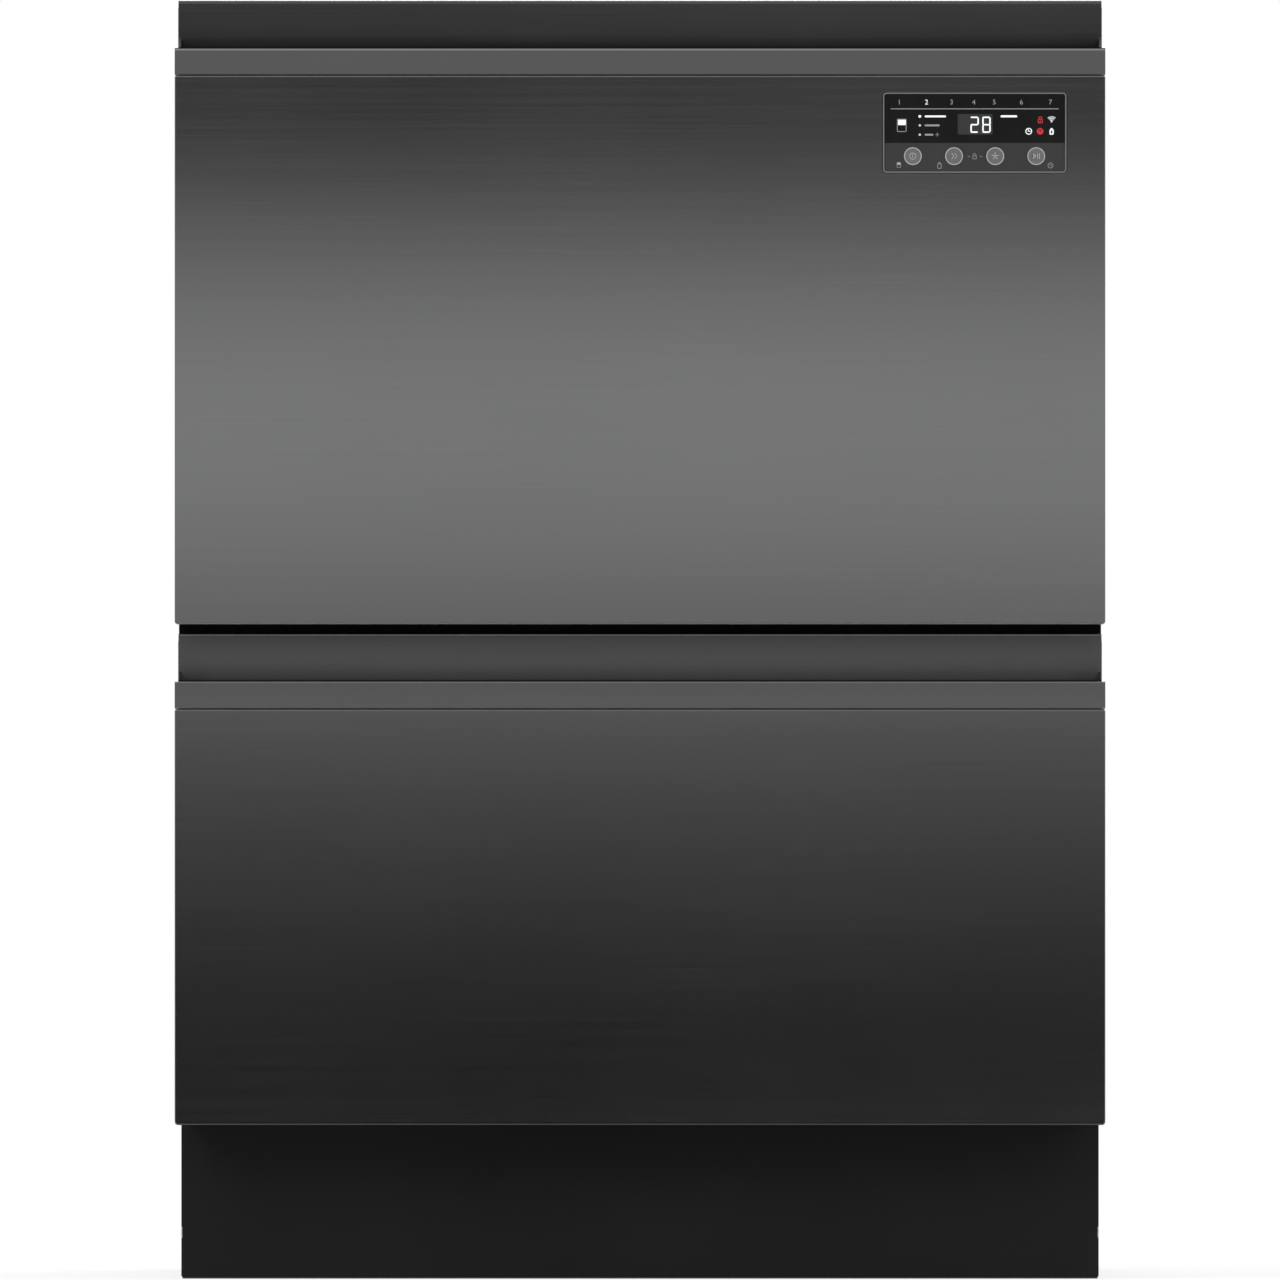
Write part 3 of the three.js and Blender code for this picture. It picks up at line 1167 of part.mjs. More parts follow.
// Cutlery basket: slotted walls, two dividers and an arched carrying handle.
function cutleryBasket() {
  const { width, length, height, wall, corner } = BASKET;
  const x = rackHalfWidth - BASKET.sideGap;
  const floor = RACK_BASE + WIRE + FIT;
  const top = floor + height;
  const xs = [x - width / 2, x + width / 2];
  const front = tubMiddleY - rackHalfLength + BASKET.frontGap;
  const ys = [front, front + length];
  const outside = prismZ(roundedRect(xs, ys, corner), [floor, top], 1);
  const insideShape = roundedRect(inset(xs, wall), inset(ys, wall), corner - wall);
  const shell = cut(outside, prismZ(insideShape, [floor + wall, top + OVER], 1));
  const third = (length - 2 * wall) / 3;
  const dividerYs = [ys[0] + wall + third, ys[1] - wall - third];
  const dividers = dividerYs.map((y) => {
    return box(inset(xs, wall / 2), [y - wall / 2, y + wall / 2], [floor + wall / 2, top - BASKET_DIP]);
  });
  const slotZs = inset([floor, top], BASKET_BAR);
  const sideSlots = basketSlots(front + length / 2, length, (slot) => box(inset(xs, -OVER), slot, slotZs));
  const endSlots = basketSlots(x, width, (slot) => box(slot, inset(ys, -OVER), slotZs));
  const archLow = top - BASKET_DIP - GRIP;
  const archHigh = floor + BASKET.handle;
  const arch = new THREE.Shape();
  arch.moveTo(dividerYs[0], archLow);
  arch.lineTo(dividerYs[0] + GRIP / 2, archLow);
  arch.lineTo(dividerYs[0] + GRIP, archHigh - GRIP);
  arch.lineTo(dividerYs[1] - GRIP, archHigh - GRIP);
  arch.lineTo(dividerYs[1] - GRIP / 2, archLow);
  arch.lineTo(dividerYs[1], archLow);
  arch.lineTo(dividerYs[1] - GRIP / 2, archHigh);
  arch.lineTo(dividerYs[0] + GRIP / 2, archHigh);
  const grip = prismX(arch, [x - GRIP_WIDTH / 2, x + GRIP_WIDTH / 2]);
  return join(cut(shell, sideSlots, endSlots), dividers, grip);
}

// ================================================================ detergent dispenser
const dispenserFace = tubFrontY + TUB_WALL + DISPENSER_PROUD;
const cupXs = [CUP_OFFSET - CUP_WIDTH / 2, CUP_OFFSET + CUP_WIDTH / 2];
const cupMiddle = (dispenserZs[0] + dispenserZs[1]) / 2;
const cupZs = [cupMiddle - CUP_HEIGHT / 2, cupMiddle + CUP_HEIGHT / 2];
const doorHinge = {
  y: dispenserFace + FIT + DOOR_THICKNESS / 2,
  z: cupZs[0] - DOOR_MARGIN + DOOR_THICKNESS / 2,
};

// Body: a cup for the powder and a round rinse-aid filler beside it.
function dispenser() {
  const half = DISPENSER_WIDTH / 2;
  const outline = roundedRect([-half, half], dispenserZs, DISPENSER_CORNER);
  const body = prismY(outline, [rimFrontY + OVER, dispenserFace], 2);
  const cupYs = [dispenserFace - CUP_DEPTH, dispenserFace + OVER];
  const cup = prismY(roundedRect(cupXs, cupZs, CUP_CORNER), cupYs, 2);
  const capX = (cupXs[1] + half) / 2;
  const capRadius = (half - cupXs[1]) / 2 - DOOR_MARGIN - WALL;
  const gripReach = capRadius - WALL;
  const cap = barY(capX, cupMiddle, capRadius, [dispenserFace - OVER, dispenserFace + WALL], 14);
  const grip = box(
    [capX - WALL / 2, capX + WALL / 2],
    [dispenserFace, dispenserFace + 2 * WALL],
    [cupMiddle - gripReach, cupMiddle + gripReach],
  );
  return cut(join(body, cap, grip), cup);
}

// Door of the cup, hinged along its bottom edge, with a finger latch at the top.
function dispenserDoor() {
  const xs = inset(cupXs, -DOOR_MARGIN);
  const ys = [dispenserFace + FIT, dispenserFace + FIT + DOOR_THICKNESS];
  const zs = [doorHinge.z, cupZs[1] + DOOR_MARGIN];
  const plate = prismY(roundedRect(xs, zs, [0, 0, CUP_CORNER, CUP_CORNER]), ys, 2);
  const barrel = barX(doorHinge.y, doorHinge.z, DOOR_THICKNESS / 2, xs, 8);
  const { reach, height, proud, drop } = DOOR_LATCH;
  const latchZs = [zs[1] - drop - height, zs[1] - drop];
  const latch = box([CUP_OFFSET - reach, CUP_OFFSET + reach], [ys[1] - OVER, ys[1] + proud], latchZs);
  return join(plate, barrel, latch);
}

// ================================================================ assembly
const model = new THREE.Group();

function place(group, name, solid, material) {
  group.add(meshOf(name, solid, material));
}

function addCabinet() {
  const side = sidePanel();
  place(model, "side_panel_right", side, galvanised);
  place(model, "side_panel_left", mirrorX(side), galvanised);
  place(model, "top_panel", topPanel(), galvanised);
  place(model, "rear_panel", rearPanel(), galvanised);
  place(model, "base_tray", baseTray(), galvanised);
  place(model, "centre_brace", centreBrace(), blackPaint);
  place(model, "toe_kick", toeKick(), blackPaint);
  place(model, "control_module", controlModule(), motorBlack);
  place(model, "inlet_valve", inletValve(), valveWhite);
  for (const [name, [sideSign, y]] of Object.entries(footPlaces)) {
    place(model, `foot_${name}`, foot(sideSign * footX, y), motorBlack);
  }
}

// What the cabinet holds for one drawer: its lid, lid lifters and the fixed and middle runners.
function addBay(prefix, tubZ) {
  const bay = new THREE.Group();
  bay.position.z = tubZ;
  const sides = [["right", (s) => s], ["left", mirrorX]];
  for (const [sideName, handed] of sides) {
    const atRunner = (solid) => handed(solid).translate([0, 0, RUNNER_CENTRE]);
    place(bay, `${prefix}_runner_outer_${sideName}`, atRunner(outerRunner()), zincSteel);
    place(bay, `${prefix}_runner_middle_${sideName}`, atRunner(middleRunner()), zincSteel);
    const lifter = handed(lidLifter()).translate([0, 0, tubHeight]);
    place(bay, `${prefix}_lid_lifter_${sideName}`, lifter, motorBlack);
  }
  place(bay, `${prefix}_lid`, lid().translate([0, 0, tubHeight]), lidGrey);
  model.add(bay);
}

// One drawer. bottom and top are its front's, above the floor.
function addDrawer(prefix, tubZ, bottom, top, { controls = false, cups = false }) {
  const drawer = new THREE.Group();
  drawer.position.z = tubZ;
  const [low, high] = [bottom - tubZ, top - tubZ];
  const skinTop = high - HANDLE_HEIGHT - SEAM;
  const fasciaZ = controls ? skinTop - FASCIA_DROP : undefined;
  const add = (name, solid, material) => place(drawer, `${prefix}_${name}`, solid, material);
  add("front_panel", frontPanel(low, skinTop, fasciaZ), blackSteel);
  add("handle", handle(high), blackSteel);
  add("front_liner", frontLiner(low, high), linerGrey);
  add("tub", tub(), tubGrey);
  const inner = innerRunner().translate([0, 0, RUNNER_CENTRE]);
  add("runner_inner_right", inner, zincSteel);
  add("runner_inner_left", mirrorX(inner), zincSteel);
  add("wash_motor", washMotor(), motorBlack);
  add("filter_plate", filterPlate(), filterGrey);
  add("spray_arm", sprayArm(), armGrey);
  add("rack", rack(cups), rackGrey);
  add("folding_tines", tinesOn(foldingTinesX, tineRodZ), rackGrey);
  add("dispenser", dispenser(), armGrey);
  add("dispenser_door", dispenserDoor(), armGrey);
  if (cups) {
    add("cup_rack", cupRack(), rackGrey);
    add("cutlery_basket", cutleryBasket(), basketGrey);
  }
  if (controls) {
    place(drawer, "control_fascia", controlFascia(fasciaZ), fasciaBlack);
    for (const [name, offset] of Object.entries(BUTTON_OFFSETS)) {
      place(drawer, `${name}_button`, button(FASCIA_CENTRE_X + offset, fasciaZ - BUTTON_DROP), buttonGrey);
    }
  }
  model.add(drawer);
}

addCabinet();
addBay("upper", upperTubZ);
addBay("lower", lowerTubZ);
addDrawer("upper", upperTubZ, upperFrontBottom, HEIGHT, { controls: true, cups: true });
addDrawer("lower", lowerTubZ, lowerFrontBottom, lowerFrontTop, {});

export default model;
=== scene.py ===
"""Looks of a built-in dishwasher with two stacked drawers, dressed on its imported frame.

Sizes are in millimetres of the object's own frame: x to the right, y to the back and z up, with the
origin on the floor under the middle. A finished mesh is brought to metres as its last step.
"""

from __future__ import annotations

import json
import logging
import math
from collections.abc import Sequence
from dataclasses import dataclass, field
from enum import Enum

import bmesh
import bpy
from mathutils import Euler, Matrix, Vector

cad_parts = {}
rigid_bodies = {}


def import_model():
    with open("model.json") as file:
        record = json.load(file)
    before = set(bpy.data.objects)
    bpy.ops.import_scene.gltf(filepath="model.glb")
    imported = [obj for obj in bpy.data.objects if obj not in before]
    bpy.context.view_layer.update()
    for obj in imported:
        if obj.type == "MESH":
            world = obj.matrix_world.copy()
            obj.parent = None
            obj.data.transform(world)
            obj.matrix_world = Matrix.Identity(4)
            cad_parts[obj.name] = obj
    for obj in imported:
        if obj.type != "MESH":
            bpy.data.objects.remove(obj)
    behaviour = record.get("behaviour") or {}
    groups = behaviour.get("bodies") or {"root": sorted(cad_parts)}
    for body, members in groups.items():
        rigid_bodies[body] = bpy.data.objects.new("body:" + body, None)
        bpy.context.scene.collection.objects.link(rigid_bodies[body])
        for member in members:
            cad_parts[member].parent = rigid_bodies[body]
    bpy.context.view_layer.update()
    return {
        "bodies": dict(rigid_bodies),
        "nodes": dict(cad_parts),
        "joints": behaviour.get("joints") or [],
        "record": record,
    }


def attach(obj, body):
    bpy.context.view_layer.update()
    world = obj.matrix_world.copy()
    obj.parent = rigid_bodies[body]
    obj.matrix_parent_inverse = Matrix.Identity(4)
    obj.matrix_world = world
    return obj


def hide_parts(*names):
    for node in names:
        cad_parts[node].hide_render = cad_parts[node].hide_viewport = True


LOG = logging.getLogger("dishwasher")
MM = 0.001
SHARP_ANGLE = math.radians(32)
Colour = tuple[float, float, float]
Point = tuple[float, float, float]
Pair = tuple[float, float]
Socket = bpy.types.NodeSocket
SIDES = {"left": -1, "right": 1}


class Level(Enum):
    """One of the two stacked drawers: its name, its tub's underside, its seal's heights, its groove's."""

    UPPER = ("upper", 469.7, (461.0, 817.0), 774.8)
    LOWER = ("lower", 104.0, (105.0, 410.0), 367.0)

    @property
    def prefix(self) -> str:
        """What the names of this drawer's pieces start with."""
        return self.value[0]

    @property
    def tub_z(self) -> float:
        """Height of the tub's underside."""
        return self.value[1]

    @property
    def seal_zs(self) -> Pair:
        """The seal's lowest and highest point on the back of the front."""
        return self.value[2]

    @property
    def groove_z(self) -> float:
        """Height of the groove between the front's skin and its handle."""
        return self.value[3]


class Axis(Enum):
    """A direction of the object's frame."""

    X = Vector((1, 0, 0))
    Y = Vector((0, 1, 0))
    Z = Vector((0, 0, 1))


# ---------------------------------------------------------------- finishes


class Graph:
    """The node tree of a material or of the world, written a node at a time."""

    def __init__(self, owner: bpy.types.Material | bpy.types.World) -> None:
        """Starts an empty tree.

        Args:
            owner: the material or the world.
        """
        owner.use_nodes = True
        self.owner, self.tree = owner, owner.node_tree
        self.tree.nodes.clear()

    def node(self, kind: str, inputs: dict | None = None, **settings: object) -> bpy.types.Node:
        """Adds a node.

        Args:
            kind: the node's type without its ShaderNode prefix.
            inputs: values or output sockets, by input name or number.
            settings: the node's own options.

        Returns:
            The new node.
        """
        made = self.tree.nodes.new("ShaderNode" + kind)
        for option, value in settings.items():
            setattr(made, option, value)
        for key, value in (inputs or {}).items():
            if isinstance(value, Socket):
                self.tree.links.new(value, made.inputs[key])
            else:
                made.inputs[key].default_value = value
        return made

    def place(self, scale: Point) -> Socket:
        """Object coordinates stretched by a scale along each axis, per metre."""
        coordinates = self.node("TexCoord").outputs["Object"]
        return self.node("Mapping", {"Vector": coordinates, "Scale": scale}).outputs[0]

    def noise(self, scale: Point, detail: float = 2.0) -> Socket:
        """Fractal noise whose grains have the given density along each axis, per metre."""
        inputs = {"Vector": self.place(scale), "Scale": 1.0, "Detail": detail, "Roughness": 0.55}
        return self.node("TexNoise", inputs).outputs[0]

    def cells(self, scale: float) -> Socket:
        """Distance inside random cells of the given density, per metre."""
        return self.node("TexVoronoi", {"Vector": self.place((scale,) * 3), "Scale": 1.0}).outputs["Distance"]

    def band(self, low: float, high: float) -> Socket:
        """A mask that is 1 between two heights, in millimetres."""
        height = self.node("SeparateXYZ", {0: self.place((1 / MM,) * 3)}).outputs["Z"]
        above, below = self.math("GREATER_THAN", height, low), self.math("LESS_THAN", height, high)
        return self.math("MULTIPLY", above, below)

    def spread(self, value: Socket, low: float, high: float, start: float = 0.3, end: float = 0.7) -> Socket:
        """Maps a value between start and end to the range from low to high, clamped."""
        return self.node("MapRange", {0: value, 1: start, 2: end, 3: low, 4: high}).outputs[0]

    def math(self, operation: str, first: object, second: object) -> Socket:
        """One arithmetic step on two sockets or numbers."""
        return self.node("Math", {0: first, 1: second}, operation=operation).outputs[0]

    def blend(self, share: Socket, first: object, second: object) -> Socket:
        """A colour between two, each a colour or a socket, by a share from 0 to 1."""
        first, second = (value if isinstance(value, Socket) else (*value, 1.0) for value in (first, second))
        return self.node("Mix", {0: share, 6: first, 7: second}, data_type="RGBA").outputs[2]

    def tint(self, value: Socket, colour: Colour, dark: float, light: float, *ends: float) -> Socket:
        """A colour that goes from a darker to a lighter shade as a value rises between two ends."""
        return self.blend(self.spread(value, 0.0, 1.0, *ends), shade(colour, dark), shade(colour, light))

    def rubbed(self, edge: Socket, share: float, body: Socket, colour: Colour) -> Socket:
        """A colour that turns to another one on the edges, by a share."""
        return self.blend(self.math("MULTIPLY", edge, share), body, colour)

    def eased(self, radius: float) -> tuple[Socket, Socket]:
        """Softens the edges of a mesh.

        Args:
            radius: how far the softening reaches, in millimetres.

        Returns:
            The softened normal, and a mask that is 1 on the edges.
        """
        normal = self.node("Bevel", {"Radius": radius * MM}, samples=4).outputs[0]
        near = self.node("VectorMath", {0: normal, 1: self.plain()}, operation="DOT_PRODUCT").outputs["Value"]
        return normal, self.spread(near, 1.0, 0.0, 0.72, 0.96)

    def plain(self) -> Socket:
        """The mesh's own normal."""
        return self.node("NewGeometry").outputs["Normal"]

    def bump(self, height: Socket, depth: float, strength: float, normal: Socket) -> Socket:
        """A bumped normal; depth is in millimetres."""
        inputs = {"Height": height, "Distance": depth * MM, "Strength": strength, "Normal": normal}
        return self.node("Bump", inputs).outputs[0]

    def close(self, shader: Socket, output: str = "OutputMaterial") -> bpy.types.Material:
        """Joins the shader to the tree's output, and returns the tree's owner."""
        self.node(output, {"Surface": shader})
        return self.owner

    def surface(self, inputs: dict) -> bpy.types.Material:
        """Closes the tree with the usual shader, given its inputs by name."""
        return self.close(self.node("BsdfPrincipled", inputs).outputs[0])


def shade(colour: Colour, by: float) -> Colour:
    """A colour made lighter or darker by a factor."""
    return tuple(min(1.0, part * by) for part in colour)


@dataclass(frozen=True)
class Finish:
    """What every finish has."""

    name: str
    colour: Colour
    roughness: float = 0.45
    slot: str = field(default="", kw_only=True)

    def material(self) -> bpy.types.Material:
        """The finish's material, made at its first use."""
        ready = bpy.data.materials.get(self.name)
        return ready or self.paint(Graph(bpy.data.materials.new(self.name)))

    def paint(self, graph: Graph) -> bpy.types.Material:
        """Builds the material.

        Args:
            graph: an empty tree.

        Returns:
            The finished material.
        """
        raise NotImplementedError


@dataclass(frozen=True)
class BrushedSteel(Finish):
    """Steel sheet with a fine brushing along one axis."""

    grain: Point = (5.0, 900.0, 900.0)
    depth: float = 0.035
    # How much lighter the edges get: partly wear, partly a painted highlight on rounded rims.
    wear: float = 1.5
    # How dark the painted shade in recesses gets; 1 paints none.
    soot: float = 1.0
    # Painted highlight and painted shade bands: bottom, top in mm, and how much brighter.
    bands: tuple[tuple[float, float, float], ...] = ()

    def paint(self, graph: Graph) -> bpy.types.Material:
        """Long streaks in the gloss, the height and, faintly, the colour, with painted shade in recesses,
        lighter edges that are partly wear and partly painted highlight, and painted highlight and painted
        shade bands.
        """
        normal, edge = graph.eased(0.7)
        streaks = graph.noise(self.grain, 4.0)
        hairs = graph.noise(tuple(3.1 * part for part in self.grain), 2.0)
        cloud = graph.noise((4.0, 4.0, 4.0), 3.0)
        height = graph.math("ADD", graph.math("MULTIPLY", streaks, 0.65), graph.math("MULTIPLY", hairs, 0.35))
        body = graph.tint(height, self.colour, 0.95, 1.05)
        # Painted shade: an ambient occlusion mask darkens the colour in recesses, such as the handle's
        # channel above its lip.
        if self.soot < 1:
            near = graph.node("AmbientOcclusion", {"Distance": 24 * MM}, samples=8).outputs["AO"]
            body = graph.blend(graph.spread(near, 0.0, 1.0, 0.45, 0.98), shade(self.colour, self.soot), body)
        # Lighter edges: partly wear, partly a painted highlight on rims such as the handle's lip.
        body = graph.rubbed(edge, 0.6, body, shade(self.colour, self.wear))
        # Painted highlight and painted shade lines in bands of height.
        for low, high, by in self.bands:
            body = graph.blend(graph.band(low, high), body, shade(self.colour, by))
        gloss = graph.spread(height, self.roughness - 0.02, self.roughness + 0.02)
        gloss = graph.math("ADD", gloss, graph.spread(cloud, -0.012, 0.015))
        return graph.surface({
            "Base Color": body,
            "Metallic": 1.0,
            "Roughness": gloss,
            "Anisotropic": 0.35,
            "Normal": graph.bump(height, self.depth, 0.16, normal),
        })


@dataclass(frozen=True)
class PlatedSteel(Finish):
    """Rolled steel with a zinc coat: faint spangle, soft gloss."""

    spangle: float = 160.0

    def paint(self, graph: Graph) -> bpy.types.Material:
        """Crystals of the coat in colour and gloss, with fine rolling marks."""
        normal, edge = graph.eased(0.4)
        crystals = graph.cells(self.spangle)
        rolled = graph.noise((300.0, 18.0, 300.0), 3.0)
        body = graph.tint(crystals, self.colour, 0.9, 1.06, 0.1, 0.8)
        body = graph.rubbed(edge, 0.6, body, shade(self.colour, 1.25))
        gloss = graph.spread(crystals, self.roughness - 0.07, self.roughness + 0.07, 0.1, 0.8)
        return graph.surface({
            "Base Color": body,
            "Metallic": 1.0,
            "Roughness": gloss,
            "Normal": graph.bump(rolled, 0.05, 0.3, normal),
        })


@dataclass(frozen=True)
class Paint(Finish):
    """Baked powder paint on steel, with an orange peel and lighter worn edges."""

    peel: float = 420.0
    gloss: float = 0.5

    def paint(self, graph: Graph) -> bpy.types.Material:
        """A rolling skin with dust-fine grain."""
        normal, edge = graph.eased(0.6)
        peel = graph.noise((self.peel,) * 3, 2.0)
        cloud = graph.noise((7.0, 7.0, 7.0), 4.0)
        body = graph.tint(cloud, self.colour, 0.88, 1.12)
        body = graph.rubbed(edge, 0.35, body, shade(self.colour, 2.2))
        return graph.surface({
            "Base Color": body,
            "Roughness": graph.spread(peel, self.roughness - 0.05, self.roughness + 0.06),
            "Specular IOR Level": self.gloss,
            "Normal": graph.bump(peel, 0.12, 0.25, normal),
        })


@dataclass(frozen=True)
class Moulding(Finish):
    """Injection moulded plastic with the fine grain of its tool."""

    grain: float = 2600.0
    depth: float = 0.04
    subsurface: float = 0.0

    def paint(self, graph: Graph) -> bpy.types.Material:
        """Tool grain in the height, flow clouds in the colour, and paler rubbed edges."""
        normal, edge = graph.eased(0.8)
        grain = graph.noise((self.grain,) * 3, 2.0)
        flow = graph.noise((9.0, 9.0, 22.0), 4.0)
        body = graph.tint(flow, self.colour, 0.93, 1.06)
        body = graph.rubbed(edge, 0.3, body, shade(self.colour, 1.35))
        gloss = graph.spread(grain, self.roughness - 0.05, self.roughness + 0.05)
        gloss = graph.math("ADD", graph.spread(flow, -0.03, 0.03), gloss)
        return graph.surface({
            "Base Color": body,
            "Roughness": gloss,
            "Subsurface Weight": self.subsurface,
            "Normal": graph.bump(grain, self.depth, 0.3, normal),
        })


@dataclass(frozen=True)
class CoatedWire(Finish):
    """Steel wire dipped in nylon: glossy, a little lumpy."""

    def paint(self, graph: Graph) -> bpy.types.Material:
        """Slow lumps of the dip under a soft gloss."""
        lumps = graph.noise((160.0, 160.0, 160.0), 3.0)
        return graph.surface({
            "Base Color": graph.tint(lumps, self.colour, 0.9, 1.1),
            "Roughness": graph.spread(lumps, self.roughness - 0.06, self.roughness + 0.08),
            "Coat Weight": 0.25,
            "Coat Roughness": 0.2,
            "Normal": graph.bump(lumps, 0.25, 0.25, graph.plain()),
        })


@dataclass(frozen=True)
class Glass(Finish):
    """Dark printed glass or hard gloss plastic."""

    def paint(self, graph: Graph) -> bpy.types.Material:
        """Near-mirror gloss with faint wiping marks."""
        normal, edge = graph.eased(0.3)
        wiped = graph.noise((60.0, 60.0, 14.0), 3.0)
        body = graph.tint(wiped, self.colour, 0.96, 1.04)
        body = graph.rubbed(edge, 0.4, body, shade(self.colour, 1.8))
        return graph.surface({
            "Base Color": body,
            "Roughness": graph.spread(wiped, self.roughness, self.roughness + 0.06),
            "Specular IOR Level": 0.35,
            "Normal": normal,
        })


@dataclass(frozen=True)
class Ink(Finish):
    """A printed or lit mark."""

    lit: float = 0.0

    def paint(self, graph: Graph) -> bpy.types.Material:
        """Slightly uneven ink, with a glow where a lamp stands behind it."""
        dots = graph.noise((3000.0, 3000.0, 3000.0), 1.0)
        body = graph.tint(dots, self.colour, 0.9, 1.0)
        return graph.surface({
            "Base Color": body,
            "Roughness": graph.spread(dots, self.roughness, self.roughness + 0.1),
            "Emission Color": body,
            "Emission Strength": self.lit,
        })


@dataclass(frozen=True)
class Rubber(Finish):
    """Soft black or grey elastomer with a talc bloom."""

    def paint(self, graph: Graph) -> bpy.types.Material:
        """Matt skin, with a pale bloom in patches."""
        bloom = graph.noise((45.0, 45.0, 45.0), 5.0)
        skin = graph.noise((1500.0, 1500.0, 1500.0), 2.0)
        return graph.surface({
            "Base Color": graph.tint(bloom, self.colour, 1.0, 1.5, 0.4, 0.8),
            "Roughness": graph.spread(skin, self.roughness - 0.05, self.roughness + 0.08),
            "Normal": graph.bump(skin, 0.06, 0.3, graph.plain()),
        })


@dataclass(frozen=True)
class FineMesh(Finish):
    """Steel sheet etched with rows of fine holes."""

    pitch: float = 1.5

    def paint(self, graph: Graph) -> bpy.types.Material:
        """Dark round holes on a square pitch, pressed into bright sheet."""
        place = graph.place((1 / (self.pitch * MM),) * 3)
        part = graph.node("VectorMath", {0: place}, operation="FRACTION").outputs[0]
        middle = graph.node("VectorMath", {0: part, 1: (0.5, 0.5, 0.5)}, operation="SUBTRACT").outputs[0]
        flat = graph.node("VectorMath", {0: middle, 1: (1.0, 1.0, 0.0)}, operation="MULTIPLY").outputs[0]
        reach = graph.node("VectorMath", {0: flat}, operation="LENGTH").outputs["Value"]
        sheet = graph.spread(reach, 0.0, 1.0, 0.24, 0.32)
        normal = graph.eased(0.3)[0]
        cloud = graph.spread(graph.noise((30.0, 30.0, 30.0), 3.0), -0.06, 0.08)
        return graph.surface({
            "Base Color": graph.blend(sheet, (0.012, 0.012, 0.012), self.colour),
            "Metallic": sheet,
            "Roughness": graph.math("ADD", cloud, self.roughness),
            "Normal": graph.bump(sheet, 0.3, 0.6, normal),
        })


# Painted highlight and painted shade bands on the folded edges and seams: from and to, in mm above the floor,
# and how bright they are.
FRONT_PAINTED_LIGHT = ((99.0, 101.2, 0.45), (773.2, 774.1, 0.6))
HANDLE_PAINTED_LIGHT = (
    (775.0, 791.2, 0.8), (791.2, 792.1, 1.9), (792.4, 793.4, 0.1), (821.4, 822.4, 1.9),
    (384.0, 385.1, 1.6), (385.2, 386.0, 0.15), (414.7, 415.6, 2.0),
)
FRONT_STEEL = BrushedSteel("black brushed steel", (0.2, 0.204, 0.202), 0.23, bands=FRONT_PAINTED_LIGHT)
# The handle's steel: painted shade in its channel above the lip, lighter edges that are partly wear and
# partly painted highlight, and painted highlight and shade bands.
HANDLE_STEEL = BrushedSteel(
    "black handle steel", (0.13, 0.133, 0.131), 0.24, wear=1.7, soot=0.3, bands=HANDLE_PAINTED_LIGHT
)
SHEET_STEEL = PlatedSteel("galvanised sheet", (0.42, 0.435, 0.445), 0.42)
RUNNER_STEEL = PlatedSteel("bright zinc", (0.62, 0.64, 0.65), 0.32, 320.0, slot="runner_zinc")
KICK_PAINT = Paint("black baked paint", (0.0078, 0.0083, 0.008), 0.55, 420.0, 0.15)
# Painted shade: the centre brace is near black so the gap between the drawers reads as deep shade.
BRACE_PAINTED_SHADE = Paint("dull black paint", (0.0025, 0.0025, 0.0025), 0.7, 420.0, 0.05)
LINER_PAINT = Paint("grey baked paint", (0.2, 0.21, 0.21), 0.48)
TUB_PLASTIC = Moulding("tub grey", (0.5, 0.52, 0.53), 0.42)
LID_PLASTIC = Moulding("lid grey", (0.36, 0.38, 0.39), 0.45)
BASKET_PLASTIC = Moulding("basket grey", (0.24, 0.25, 0.26), 0.5, slot="basket_plastic")
SPRAY_PLASTIC = Moulding("spray arm grey", (0.42, 0.44, 0.45), 0.36)
FILTER_PLASTIC = Moulding("filter dark grey", (0.13, 0.14, 0.15), 0.5, slot="filter_plastic")
MOTOR_PLASTIC = Moulding("motor black", (0.028, 0.029, 0.03), 0.55, slot="motor_plastic")
VALVE_PLASTIC = Moulding("valve ivory", (0.72, 0.71, 0.66), 0.4, slot="valve_plastic")
RACK_COAT = CoatedWire("grey nylon coat", (0.17, 0.18, 0.19), 0.36, slot="rack_wire")
BUTTON_PLASTIC = Moulding("button grey", (0.1, 0.102, 0.1), 0.4, 4000.0, 0.02)
FILTER_MESH = FineMesh("filter mesh", (0.55, 0.56, 0.56), 0.3, slot="runner_zinc")
RUBBER = Rubber("seal rubber", (0.03, 0.03, 0.032), 0.62, slot="motor_plastic")
PANEL = "fascia_gloss"
BRIGHT_INK = Ink("bright lit mark", (0.62, 0.64, 0.64), 0.5, 0.5, slot=PANEL)
DIM_INK = Ink("dim lit mark", (0.2, 0.21, 0.21), 0.5, 0.15, slot=PANEL)
RED_INK = Ink("red lit mark", (0.4, 0.012, 0.018), 0.5, 0.2, slot=PANEL)
PALE_INK = Ink("pale lit mark", (0.4, 0.42, 0.42), 0.5, 0.3, slot=PANEL)
TRIM = Ink("pale trim line", (0.125, 0.13, 0.13), 0.35, slot=PANEL)
KEY_MARK = Ink("pale key mark", (0.34, 0.35, 0.35), 0.4, slot=PANEL)
FIELD_MARK = Ink("dim key field mark", (0.19, 0.2, 0.2), 0.4, slot=PANEL)
DISPLAY_GLASS = Glass("display glass", (0.007, 0.0072, 0.007), 0.1, slot=PANEL)
KEY_GLASS = Glass("key field", (0.03, 0.031, 0.03), 0.16, slot=PANEL)
WINDOW_GLASS = Glass("digit window", (0.03, 0.031, 0.03), 0.14, slot=PANEL)


# ---------------------------------------------------------------- shaping


def verts_of(made: dict) -> list[bmesh.types.BMVert]:
    """The vertices among what an operator made."""
    return [item for item in made["geom"] if isinstance(item, bmesh.types.BMVert)]


def corners(x: Pair, y: Pair, z: Pair) -> tuple[Point, Point]:
    """The lowest and the highest corner of a box, from its ranges."""
    return tuple(zip(x, y, z))


def towards(at: Vector, way: Vector) -> Matrix:
    """The place at a point with its z axis along a direction."""
    return Matrix.Translation(at) @ way.to_track_quat("Z", "Y").to_matrix().to_4x4()


